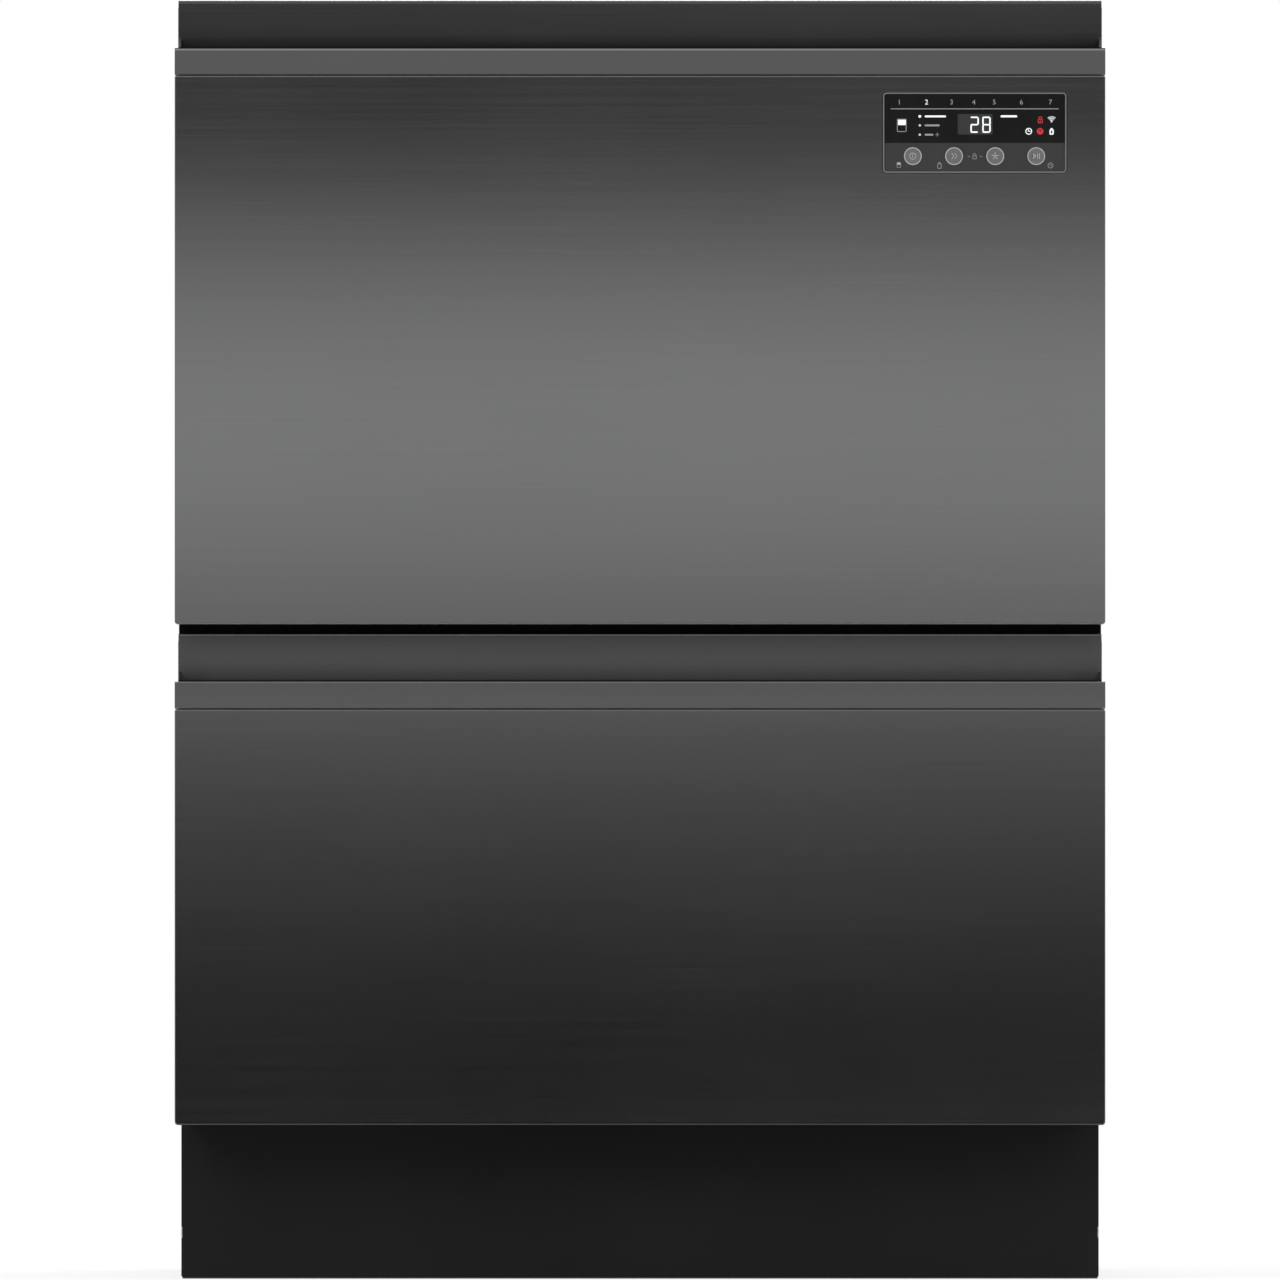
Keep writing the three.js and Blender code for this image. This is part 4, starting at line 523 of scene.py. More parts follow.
class Shape:
    """A mesh in the making, in millimetres of the object's frame."""

    def __init__(self) -> None:
        """Starts empty."""
        self.bm = bmesh.new()

    def moved(self, step: Point, verts: list[bmesh.types.BMVert] | None = None) -> Shape:
        """Moves some vertices, or all of them."""
        bmesh.ops.translate(self.bm, verts=self.bm.verts if verts is None else verts, vec=step)
        return self

    def turned(self, degrees: float, axis: str | Vector) -> Shape:
        """Turns the whole shape about an axis through the origin."""
        turn = Matrix.Rotation(math.radians(degrees), 3, axis)
        bmesh.ops.rotate(self.bm, verts=self.bm.verts, cent=(0, 0, 0), matrix=turn)
        return self

    def pour(self, part: Shape) -> Shape:
        """Takes in all that another shape holds.

        Args:
            part: the other shape; it is used up.

        Returns:
            This shape.
        """
        mesh = bpy.data.meshes.new("part")
        part.bm.to_mesh(mesh)
        part.bm.free()
        self.bm.from_mesh(mesh)
        bpy.data.meshes.remove(mesh)
        return self

    def eased(self, verts: list, by: float, segments: int = 2) -> None:
        """Bevels every edge of the given vertices.

        Args:
            verts: the vertices.
            by: how far the edges are cut back.
            segments: faces round an edge.
        """
        edges = {edge for vert in verts for edge in vert.link_edges}
        bmesh.ops.bevel(
            self.bm, geom=list(edges), offset=by, offset_type="OFFSET", segments=segments,
            profile=0.5, affect="EDGES", material=-1,
        )

    def block(self, low: Point, high: Point, ease: float = 0.0, segments: int = 2) -> Shape:
        """Adds a block between two corners.

        Args:
            low: lowest corner.
            high: highest corner.
            ease: how far its edges are rounded.
            segments: faces round an edge.

        Returns:
            This shape.
        """
        low, high = Vector(low), Vector(high)
        matrix = Matrix.Translation((low + high) / 2) @ Matrix.Diagonal((*(high - low), 1))
        made = bmesh.ops.create_cube(self.bm, size=1.0, matrix=matrix)
        if ease:
            self.eased(made["verts"], ease, segments)
        return self

    def rod(
        self, start: Point, end: Point, radius: float, sides: int = 12, tip: float | None = None
    ) -> Shape:
        """Adds a rod between two points.

        Args:
            start: middle of its first end.
            end: middle of its second end.
            radius: radius at the start.
            sides: faces round it.
            tip: radius at the end, when it differs.

        Returns:
            This shape.
        """
        start, end = Vector(start), Vector(end)
        bmesh.ops.create_cone(
            self.bm, cap_ends=True, cap_tris=False, segments=sides, radius1=radius,
            radius2=radius if tip is None else tip, depth=(end - start).length,
            matrix=towards((start + end) / 2, end - start),
        )
        return self

    def lathe(self, profile: Sequence[Pair], foot: Point, axis: Vector, steps: int = 32) -> Shape:
        """Spins a profile of (radius, height) pairs about an axis.

        Args:
            profile: the line to spin; it starts and ends on the axis, or closes on itself.
            foot: where height 0 lies on the axis.
            axis: the axis.
            steps: faces round it.

        Returns:
            This shape.
        """
        foot, axis = Vector(foot), Vector(axis).normalized()
        out = axis.orthogonal().normalized()
        verts = [self.bm.verts.new(foot + out * radius + axis * height) for radius, height in profile]
        edges = [self.bm.edges.new(pair) for pair in zip(verts, verts[1:])]
        bmesh.ops.spin(
            self.bm, geom=verts + edges, cent=foot, axis=axis, dvec=(0, 0, 0), angle=2 * math.pi,
            steps=steps, use_merge=True, use_duplicate=False,
        )
        bmesh.ops.remove_doubles(self.bm, verts=self.bm.verts[:], dist=1e-4)
        return self

    def frame(self, low: Point, high: Point, corner: float, width: float, segments: int = 5) -> Shape:
        """Adds a flat ring round a rectangle in the xz plane, between two y values.

        Args:
            low: lowest corner of the ring's outline.
            high: highest corner.
            corner: radius of the outline's corners.
            width: width of the ring.
            segments: faces round a corner.

        Returns:
            This shape.
        """
        face = self.plate_face(low, high, corner, segments)
        made = bmesh.ops.inset_individual(self.bm, faces=[face], thickness=width, use_even_offset=True)
        bmesh.ops.delete(self.bm, geom=[face], context="FACES_ONLY")
        return self.raised(made["faces"], high[1] - low[1])

    def gasket(
        self, x: Pair, y: Point, z: Pair, corner: float, width: float, inset: float, segments: int = 5
    ) -> Shape:
        """Adds a flat ring with a narrower lip on its back.

        Args:
            x: left and right of the ring.
            y: front of the ring, where the lip starts, and the lip's end.
            z: bottom and top of the ring.
            corner: radius of the ring's corners.
            width: width of the ring.
            inset: how far the lip stands in from both edges of the ring.
            segments: faces round a corner.

        Returns:
            This shape.
        """
        self.frame(*corners(x, y[:2], z), corner, width, segments)
        x, z = ((low + inset, high - inset) for low, high in (x, z))
        return self.frame(*corners(x, y[1:], z), corner - inset, width - 2 * inset, segments)

    def plate(self, low: Point, high: Point, corner: float, segments: int = 5) -> Shape:
        """Adds a plate with rounded corners in the xz plane, between two y values."""
        return self.raised([self.plate_face(low, high, corner, segments)], high[1] - low[1])

    def plate_face(self, low: Point, high: Point, corner: float, segments: int) -> bmesh.types.BMFace:
        """A single rounded face that looks to the front, at the lower y.

        Args:
            low: lowest corner of its box.
            high: highest corner.
            corner: radius of its corners.
            segments: faces round a corner.

        Returns:
            The face.
        """
        verts = [self.bm.verts.new((x, low[1], z)) for x, z in
                 ((low[0], low[2]), (high[0], low[2]), (high[0], high[2]), (low[0], high[2]))]
        self.bm.faces.new(verts)
        if corner:
            bmesh.ops.bevel(
                self.bm, geom=verts, offset=corner, offset_type="OFFSET", segments=segments,
                profile=0.5, affect="VERTICES", material=-1,
            )
        self.bm.faces.ensure_lookup_table()
        return self.bm.faces[-1]

    def raised(self, faces: list, depth: float) -> Shape:
        """Extrudes flat faces to the back by a depth, keeping the first ones."""
        made = bmesh.ops.extrude_face_region(self.bm, geom=faces, use_keep_orig=True)
        return self.moved((0, depth, 0), verts_of(made))

    def text(self, words: str, height: float, middle: Point, depth: float = 0.08) -> Shape:
        """Adds plain figures that look to the front.

        Args:
            words: the figures.
            height: their height.
            middle: middle of the figures, on their front.
            depth: how thick they are.

        Returns:
            This shape.
        """
        curve = bpy.data.curves.new("figures", "FONT")
        curve.body = words
        curve.resolution_u = 3
        curve.extrude = 0.01
        holder = bpy.data.objects.new("figures", curve)
        bpy.context.scene.collection.objects.link(holder)
        bpy.context.view_layer.update()
        mesh = bpy.data.meshes.new_from_object(holder.evaluated_get(bpy.context.evaluated_depsgraph_get()))
        bpy.data.objects.remove(holder)
        part = Shape()
        part.bm.from_mesh(mesh)
        bpy.data.meshes.remove(mesh)
        corners = [vert.co.copy() for vert in part.bm.verts]
        low, high = (Vector(pick(corner[i] for corner in corners) for i in range(3)) for pick in (min, max))
        size = high - low
        factors = (height / size.y, height / size.y, depth / size.z)
        part.moved(-(low + high) / 2)
        bmesh.ops.scale(part.bm, verts=part.bm.verts, vec=factors)
        return self.pour(part.turned(90, "X").moved(Vector(middle) + Vector((0, depth / 2, 0))))

    def repeated(self) -> list[bmesh.types.BMVert]:
        """Duplicates all that the shape holds, and returns the new vertices."""
        held = self.bm.verts[:] + self.bm.edges[:] + self.bm.faces[:]
        return verts_of(bmesh.ops.duplicate(self.bm, geom=held))

    def mirrored(self) -> Shape:
        """Adds the shape's own reflection across x = 0."""
        bmesh.ops.scale(self.bm, verts=self.repeated(), vec=(-1, 1, 1))
        return self

    def tipped(self) -> Shape:
        """Lays what stands in the xz plane down into the xy plane: y becomes -z."""
        return self.turned(-90, "X")

    def round_about(self, centre: Point, axis: Vector, count: int) -> Shape:
        """Repeats all that the shape holds so far in a ring, count times in all.

        Args:
            centre: middle of the ring.
            axis: its axis.
            count: how many there are then.

        Returns:
            This shape.
        """
        geom = self.bm.verts[:] + self.bm.edges[:] + self.bm.faces[:]
        for i in range(1, count):
            verts = verts_of(bmesh.ops.duplicate(self.bm, geom=geom))
            turn = Matrix.Rotation(2 * math.pi * i / count, 3, axis)
            bmesh.ops.rotate(self.bm, verts=verts, cent=centre, matrix=turn)
        return self

    def thread(self, foot: Point, radius: float, depth: float, pitch: float, turns: int) -> Shape:
        """Winds a screw thread about an upright axis.

        Args:
            foot: where it starts on the axis.
            radius: radius of its root.
            depth: height of its ridge.
            pitch: rise of one turn.
            turns: how many turns.

        Returns:
            This shape.
        """
        x, y, z = foot
        half = pitch * 0.42
        corners = ((radius, -half), (radius + depth, 0), (radius, half))
        verts = [self.bm.verts.new((x + out, y, z + up)) for out, up in corners]
        face = self.bm.faces.new(verts)
        steps = 12 * turns
        bmesh.ops.spin(
            self.bm, geom=[face], cent=(x, y, z), axis=(0, 0, 1), dvec=(0, 0, pitch * turns / steps),
            angle=2 * math.pi * turns, steps=steps, use_duplicate=False,
        )
        return self

    def finish(self, name: str) -> bpy.types.Object:
        """Closes the mesh, brings it to metres and makes its object.

        Args:
            name: the piece's name.

        Returns:
            The object, at the origin.
        """
        bmesh.ops.recalc_face_normals(self.bm, faces=self.bm.faces)
        for face in self.bm.faces:
            face.smooth = True
        for edge in self.bm.edges:
            edge.smooth = edge.calc_face_angle(math.pi) < SHARP_ANGLE
        bmesh.ops.scale(self.bm, verts=self.bm.verts, vec=(MM, MM, MM))
        mesh = bpy.data.meshes.new(name)
        self.bm.to_mesh(mesh)
        self.bm.free()
        made = bpy.data.objects.new(name, mesh)
        bpy.context.scene.collection.objects.link(made)
        return made


class Wire:
    """A round wire drawn through a shape: straight runs by extruding, bends by spinning."""

    def __init__(self, shape: Shape, start: Point, heading: Point, radius: float, sides: int = 8) -> None:
        """Puts the wire's first end.

        Args:
            shape: the shape that takes the wire.
            start: middle of the end.
            heading: the way it leaves.
            radius: the wire's radius.
            sides: faces round it.
        """
        self.bm = shape.bm
        self.point, self.heading = Vector(start), Vector(heading).normalized()
        matrix = towards(self.point, -self.heading)
        made = bmesh.ops.create_circle(self.bm, cap_ends=True, segments=sides, radius=radius, matrix=matrix)
        self.ring = list({edge for vert in made["verts"] for edge in vert.link_edges})

    def run(self, length: float) -> Wire:
        """Goes straight on.

        Args:
            length: how far.

        Returns:
            This wire.
        """
        made = bmesh.ops.extrude_edge_only(self.bm, edges=self.ring)
        bmesh.ops.translate(self.bm, verts=verts_of(made), vec=self.heading * length)
        edges = [item for item in made["geom"] if isinstance(item, bmesh.types.BMEdge)]
        self.ring = [edge for edge in edges if edge.is_boundary]
        self.point = self.point + self.heading * length
        return self

    def turn(self, axis: Point, degrees: float, radius: float, steps: int = 4) -> Wire:
        """Bends about an axis.

        Args:
            axis: the axis of the bend.
            degrees: how far it turns.
            radius: radius of the bend at the wire's middle.
            steps: faces along the bend.

        Returns:
            This wire.
        """
        axis, angle = Vector(axis).normalized(), math.radians(degrees)
        centre = self.point + axis.cross(self.heading) * radius
        made = bmesh.ops.spin(
            self.bm, geom=self.ring, cent=centre, axis=axis, dvec=(0, 0, 0), angle=angle,
            steps=steps, use_duplicate=False,
        )
        self.ring = [item for item in made["geom_last"] if isinstance(item, bmesh.types.BMEdge)]
        turned = Matrix.Rotation(angle, 3, axis)
        self.point = centre + turned @ (self.point - centre)
        self.heading = turned @ self.heading
        return self

    def end(self) -> None:
        """Closes the wire's second end."""
        bmesh.ops.contextual_create(self.bm, geom=self.ring)


# ---------------------------------------------------------------- assemblies


@dataclass
class Assembly:
    """A group of pieces that is dressed and built together."""

    nodes: dict[str, bpy.types.Object] = field(repr=False)

    def dress(self, finish: Finish, *names: str) -> None:
        """Gives nodes of the frame a finish.

        Args:
            finish: the finish.
            names: the nodes' names.
        """
        for name in names:
            for place in self.nodes[name].material_slots:
                place.material = finish.material()

    def add(
        self, name: str, shape: Shape, body: str, finish: Finish, slot: str | None = None
    ) -> bpy.types.Object:
        """Finishes a shape and lets it ride on a body.

        Args:
            name: the piece's name.
            shape: its shape.
            body: the body that carries it.
            finish: its finish.
            slot: the record's slot that it belongs to, when it isn't the finish's own; it is worked out but
                not used.

        Returns:
            The piece.
        """
        slot = slot or finish.slot
        made = shape.finish(name)
        made.data.materials.append(finish.material())
        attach(made, body)
        LOG.info("%s rides on %s with %d faces", name, body, len(made.data.polygons))
        return made

    def build(self) -> None:
        """Builds and dresses the group."""
        raise NotImplementedError


# A screw head's width and height as shares of its own, from its side to its recess.
SCREW_SIDES = 12
SCREW_PROFILE = ((1.0, 0.35), (0.86, 0.8), (0.55, 1.0))
LOBE_SHARE = 0.72
RECESS_SHARE = 0.5


def screw(shape: Shape, at: Point, out: Point, radius: float = 3.6, height: float = 1.9) -> None:
    """Adds a pan head screw with a six-lobed recess.

    Args:
        shape: the shape that takes it.
        at: where the head sits on its panel.
        out: the way the head looks.
        radius: radius of the head.
        height: height of the head.
    """
    at, out = Vector(at), Vector(out).normalized()
    made = bmesh.ops.create_circle(
        shape.bm, cap_ends=True, segments=SCREW_SIDES, radius=radius, matrix=towards(at, out)
    )
    face = made["verts"][0].link_faces[0]
    step = 0.0
    for share, rise in SCREW_PROFILE:
        face = bmesh.ops.extrude_discrete_faces(shape.bm, faces=[face])["faces"][0]
        shape.moved(out * (height * rise - step), face.verts[:])
        middle = face.calc_center_median()
        scale = radius * share / (face.verts[0].co - middle).length
        bmesh.ops.scale(shape.bm, verts=face.verts[:], vec=(scale,) * 3, space=Matrix.Translation(-middle))
        step = height * rise
    face = bmesh.ops.extrude_discrete_faces(shape.bm, faces=[face])["faces"][0]
    lobes, space = list(face.verts)[::2], Matrix.Translation(-face.calc_center_median())
    bmesh.ops.scale(shape.bm, verts=lobes, vec=(LOBE_SHARE,) * 3, space=space)
    shape.moved(-out * height * RECESS_SHARE, face.verts[:])


@dataclass
class Cabinet(Assembly):
    """The fixed sheet metal shell, with its screws, grommets and base machinery."""

    side_x: float = 295.0
    back_y: float = 286.5
    roof_z: float = 821.0
    runner_zs: Pair = (189.0, 554.7)
    runner_ys: tuple[float, ...] = (-226.0, -60.0, 110.0, 222.0)
    hose_z: float = 58.0
    foot_x: float = 262.0
    foot_ys: Pair = (-186.5, 239.5)
    foot_radius: float = 18.5
    foot_rim: tuple[Pair, ...] = ((-0.8, 0.02), (0.3, 0.9), (0.3, 3.2), (-0.3, 4.0), (-2.5, 4.0))
    thread_z: float = 43.0
    screw_xs: Pair = (150.0, 279.0)
    corner_ys: Pair = (-244.0, 274.0)
    corner_zs: tuple[float, ...] = (30.0, 300.0, 435.0, 680.0, 802.0)
    roof_ys: Pair = (-247.0, 276.0)
    rear_zs: tuple[float, ...] = (30.0, 225.0, 420.0, 615.0, 806.0)
    strip: tuple[Pair, Pair, Pair] = ((-295.0, 295.0), (-230.2, -215.0), (0.0, 1.0))
    tail: Pair = (200.0, 280.4)
    socket_xs: tuple[float, ...] = (-21.0, -49.0, -77.0)
    socket_y: Pair = (-105.8, -100.2)
    socket_z: Pair = (25.3, 39.3)
    pin_y: Pair = (-100.6, -99.0)
    holes: tuple[Pair, ...] = ((-200.0, 16.3), (-140.0, 7.4))

    def side_screws(self) -> Shape:
        """Screws of the runners and the corners, on the outside of both side panels."""
        shape = Shape()
        spots = [(y, z) for z in self.runner_zs for y in self.runner_ys]
        spots += [(y, z) for y in self.corner_ys for z in self.corner_zs]
        for y, z in spots:
            screw(shape, (self.side_x, y, z), Axis.X.value, 3.6, 0.9)
        return shape.mirrored()

    def shell_screws(self) -> Shape:
        """Screws on the rear panel and on the roof."""
        shape, (near, far) = Shape(), self.screw_xs
        for x in (-far, -near, 0.0, near, far):
            for z in self.rear_zs if abs(x) == far else self.rear_zs[-1:]:
                screw(shape, (x, self.back_y, z), Axis.Y.value)
            for y in self.roof_ys:
                screw(shape, (x, y, self.roof_z), Axis.Z.value, 3.4, 1.6)
        return shape

    def kick_seal(self) -> Shape:
        """The rubber strip between the toe kick and the floor; it also stands in for the dark contact shadow
        under the kick, as painted shadow.
        """
        return Shape().block(*corners(*self.strip))

    def grommets(self) -> Shape:
        """Rubber rings that grip the rear panel round the holes of the hose and the lead."""
        shape = Shape()
        for x, hole in self.holes:
            bore, brim = hole - 2.4, hole + 3.4
            groove = [(bore, -3.0), (brim - 0.8, -3.0), (brim, -2.2), (brim, -1.1), (hole, -1.1), (hole, 0.1)]
            lips = [(brim, 0.1), (brim, 1.0), (brim - 1.0, 1.8), (bore + 0.8, 1.8), (bore, 1.0), (bore, -3.0)]
            shape.lathe(groove + lips, (x, self.back_y, self.hose_z), Axis.Y.value, 40)
        return shape

    def hose_thread(self) -> Shape:
        """The screw thread on the water inlet's tail."""
        return Shape().thread((0, 0, 0), 12.8, 1.3, 1.8, 3).tipped().moved((*self.tail, self.hose_z))

    def sockets(self) -> Shape:
        """Lead sockets with their pins, in the back of the electronics box."""
        shape, z = Shape(), sum(self.socket_z) / 2
        for left in self.socket_xs:
            shape.block(*corners((left + 1, left + 15), self.socket_y, self.socket_z), 0.7)
            for x in (left + 3.5, left + 6.5, left + 9.5, left + 12.5):
                shape.rod((x, self.pin_y[0], z), (x, self.pin_y[1], z), 0.6, 6)
        return shape

    def feet(self) -> None:
        """A ribbed rubber sole and a screw thread on each foot."""
        for across, x in SIDES.items():
            for along, y in zip(("front", "rear"), self.foot_ys):
                centre = (x * self.foot_x, y, 0.0)
                rim = [(self.foot_radius + out, up) for out, up in self.foot_rim]
                sole = Shape().lathe([(0, 0.02), *rim, (0, 4.0)], centre, Axis.Z.value, 48)
                body = f"foot_{along}_{across}"
                self.add(f"{body}_sole", sole, body, RUBBER)
                thread = Shape().thread((centre[0], y, self.thread_z), 4.6, 1.0, 2.0, 23)
                self.add(f"{body}_thread", thread, body, RUNNER_STEEL)

    def build(self) -> None:
        """Dresses the sheets and adds what is fastened to them."""
        self.dress(SHEET_STEEL, "side_panel_left", "side_panel_right", "top_panel", "rear_panel", "base_tray")
        self.dress(KICK_PAINT, "toe_kick")
        # The centre brace carries painted shade for the gap between the drawers.
        self.dress(BRACE_PAINTED_SHADE, "centre_brace")
        self.dress(MOTOR_PLASTIC, "control_module")
        self.dress(VALVE_PLASTIC, "inlet_valve")
        self.dress(MOTOR_PLASTIC, "foot_front_left", "foot_front_right", "foot_rear_left", "foot_rear_right")
        for name, shape, finish in (
            ("side_screws", self.side_screws(), RUNNER_STEEL),
            ("shell_screws", self.shell_screws(), RUNNER_STEEL),
            ("rear_grommets", self.grommets(), RUBBER),
            # The kick strip is partly a seal and partly painted shadow under the toe kick.
            ("kick_seal", self.kick_seal(), RUBBER),
            ("valve_thread", self.hose_thread(), VALVE_PLASTIC),
            ("module_sockets", self.sockets(), VALVE_PLASTIC),
        ):
            self.add(name, shape, "cabinet", finish)
        self.feet()


@dataclass
class Tier(Assembly):
    """A group of pieces that each of the two drawers has of its own."""

    level: Level

    def __post_init__(self) -> None:
        """Keeps the height of the tub's underside and the drawer's body."""
        self.z, self.body = self.level.tub_z, self.own("drawer")

    def own(self, name: str) -> str:
        """A name that starts with the drawer's."""
        return f"{self.level.prefix}_{name}"


@dataclass
class Runners(Tier):
    """The telescopic runners of one drawer, with the screws that hold the inner one."""

    web_x: float = 281.2
    centre: float = 85.0
    ys: tuple[float, ...] = (-228.0, -110.0, 20.0, 140.0, 220.0)

    def screws(self) -> Shape:
        """Screws through the inner runners into the tub's moulded rails."""
        shape = Shape()
        for y in self.ys:
            screw(shape, (self.web_x, y, self.z + self.centre), Axis.X.value, 4.6, 2.2)
        return shape.mirrored()

    def build(self) -> None:
        """Dresses the rails and adds their screws."""
        for side in SIDES:
            for order in ("outer", "middle", "inner"):
                self.dress(RUNNER_STEEL, self.own(f"runner_{order}_{side}"))
        self.add(self.own("runner_screws"), self.screws(), self.body, RUNNER_STEEL)


@dataclass
class Bay(Tier):
    """What stays in the cabinet for one drawer: its lid and the lid's lifters."""

    rim: float = 308.0
    half_width: float = 276.0
    ys: Pair = (-243.7, 248.0)
    corner: float = 42.0
    seal_width: float = 4.6
    seal_gap: float = 0.2
    seal_heights: Point = (2.3, 1.0, 0.35)
    lip_inset: float = 1.2
    motor_x: float = 282.3
    motor_z: float = 14.3

    def seal(self) -> Shape:
        """The rubber seal under the lid's skirt, with a soft lip that looks down."""
        half = self.half_width - self.seal_gap
        y = tuple(-(self.z + self.rim + height) for height in self.seal_heights)
        z = (self.ys[0] + self.seal_gap, self.ys[1] - self.seal_gap)
        shape = Shape().gasket((-half, half), y, z, self.corner, self.seal_width, self.lip_inset, 8)
        return shape.tipped()

    def lifter_screws(self) -> Shape:
        """Screws of the lifters' gear motors."""
        shape, z = Shape(), self.z + self.rim + self.motor_z
        middle = (self.ys[0] + self.ys[1]) / 2
        for along in (-36.0, 36.0):
            for up in (-5.0, 14.0):
                screw(shape, (self.motor_x, middle + along, z + up), -Axis.X.value, 2.4, 0.9)
        return shape.mirrored()

    def build(self) -> None:
        """Dresses the lid and its lifters."""
        self.dress(LID_PLASTIC, self.own("lid"))
        self.dress(RUNNER_STEEL, self.own("lid_lifter_left"), self.own("lid_lifter_right"))
        self.add(self.own("lid_seal"), self.seal(), self.own("lid"), RUBBER)
        self.add(self.own("lifter_screws"), self.lifter_screws(), "cabinet", MOTOR_PLASTIC)


# Outlines that are spun, as radius and height: the spray arm's cap, the filter's mesh, the rinse aid cap.
HUB_PROFILE = ((0, 0), (6.5, 0), (6.5, 1.0), (5.0, 1.7), (0, 1.9))
MESH_PROFILE = (
    (57.0, 0.0), (57.6, 1.1), (59.0, 1.1), (60.0, 0.45),
    (99.0, 0.45), (100.0, 1.1), (101.5, 1.1), (102.0, 0.0), (57.0, 0.0),
)
CAP_PROFILE = (
    (0, 0), (15.5, 0), (15.5, 1.2), (14.0, 1.8), (13.4, 1.8), (12.9, 3.6), (12.0, 4.0), (0, 4.0),
)


@dataclass
class Drawer(Tier):
    """The moving part of one drawer: its front, its tub and what the tub carries."""

    middle_y: float = -3.0
    seal_half: float = 294.5
    seal_ys: Point = (-260.7, -258.9, -258.3)
    seal_section: Point = (7.0, 8.0, 2.6)
    groove_half: float = 299.2
    groove_y: Pair = (-285.2, -282.6)
    groove_rises: Pair = (0.05, 0.8)
    plate_top: float = 38.3
    blade_top: float = 57.8
    hub_top: float = 61.8
    jets: tuple[float, ...] = (50.0, 115.0, 180.0)
    jet_half: Pair = (7.5, 4.0)
    reach: float = 205.0
    sweep: float = 12.0
    dispenser_y: float = -220.0
    cap_x: float = 43.0
    cap_z: float = 260.0

    def front_seal(self) -> Shape:
        """The rubber seal on the back of the front, which meets the cabinet's edges."""
        x = (-self.seal_half, self.seal_half)
        return Shape().gasket(x, self.seal_ys, self.level.seal_zs, *self.seal_section)

    def groove_strip(self) -> Shape:
        """A thin dark strip in the groove between the front's skin and its handle: painted shade that stands
        in for the groove's shadow.
        """
        low, high = (self.level.groove_z + rise for rise in self.groove_rises)
        return Shape().block(*corners((-self.groove_half, self.groove_half), self.groove_y, (low, high)))

    def nozzles(self) -> Shape:
        """A raised rim round each jet, and the wings of the hub's cap."""
        shape, z, (length, width) = Shape(), self.z + self.blade_top, self.jet_half
        for x in self.jets:
            y = (x / self.reach) ** 2 * self.sweep
            box = corners((x - length, x + length), (-(z + 0.9), -z), (y - width, y + width))
            shape.frame(*box, 3.8, 2.0, 4)
        shape.tipped().round_about((0, 0, 0), Axis.Z.value, 2)
        cap, top = Shape(), self.z + self.hub_top
        cap.block((4.0, -1.2, top), (13.5, 1.2, top + 1.5), 0.5).round_about((0, 0, 0), Axis.Z.value, 6)
        cap.lathe(HUB_PROFILE, (0, 0, top), Axis.Z.value)
        return shape.pour(cap).moved((0, self.middle_y, 0))

    def filter_mesh(self) -> Shape:
        """The fine steel mesh on the filter plate, with its pressed rims."""
        return Shape().lathe(MESH_PROFILE, (0, self.middle_y, self.z + self.plate_top), Axis.Z.value, 64)

    def rinse_cap(self) -> Shape:
        """The turning cap of the rinse aid tank: grooved round its edge, with a grip across."""
        x, y, z = centre = (self.cap_x, self.dispenser_y, self.z + self.cap_z)
        shape = Shape().lathe(CAP_PROFILE, centre, Axis.Y.value, 48)
        shape.block((x - 10.5, y + 3.8, z - 1.7), (x + 10.5, y + 5.6, z + 1.7), 0.7)
        ridge = Shape().block((x - 0.5, y + 1.6, z + 12.6), (x + 0.5, y + 3.7, z + 13.6), 0.2)
        ridge.round_about(centre, Axis.Y.value, 30)
        return shape.pour(ridge)

    def build(self) -> None:
        """Dresses the front and the tub, and adds the seals and small mouldings."""
        for finish, names in (
            (FRONT_STEEL, ("front_panel",)), (HANDLE_STEEL, ("handle",)), (LINER_PAINT, ("front_liner",)),
            (TUB_PLASTIC, ("tub", "dispenser")), (LID_PLASTIC, ("dispenser_door",)),
            (MOTOR_PLASTIC, ("wash_motor",)), (FILTER_PLASTIC, ("filter_plate",)),
            (SPRAY_PLASTIC, ("spray_arm",)),
        ):
            self.dress(finish, *map(self.own, names))
        for name, shape, body, finish in (
            ("front_seal", self.front_seal(), "drawer", RUBBER),
            # The groove strip is painted shade for the seam between skin and handle.
            ("groove_strip", self.groove_strip(), "drawer", RUBBER),
            ("arm_nozzles", self.nozzles(), "spray_arm", FILTER_PLASTIC),
            ("filter_mesh", self.filter_mesh(), "drawer", FILTER_MESH),
            ("rinse_cap", self.rinse_cap(), "drawer", FILTER_PLASTIC),
        ):
            self.add(self.own(name), shape, self.own(body), finish)


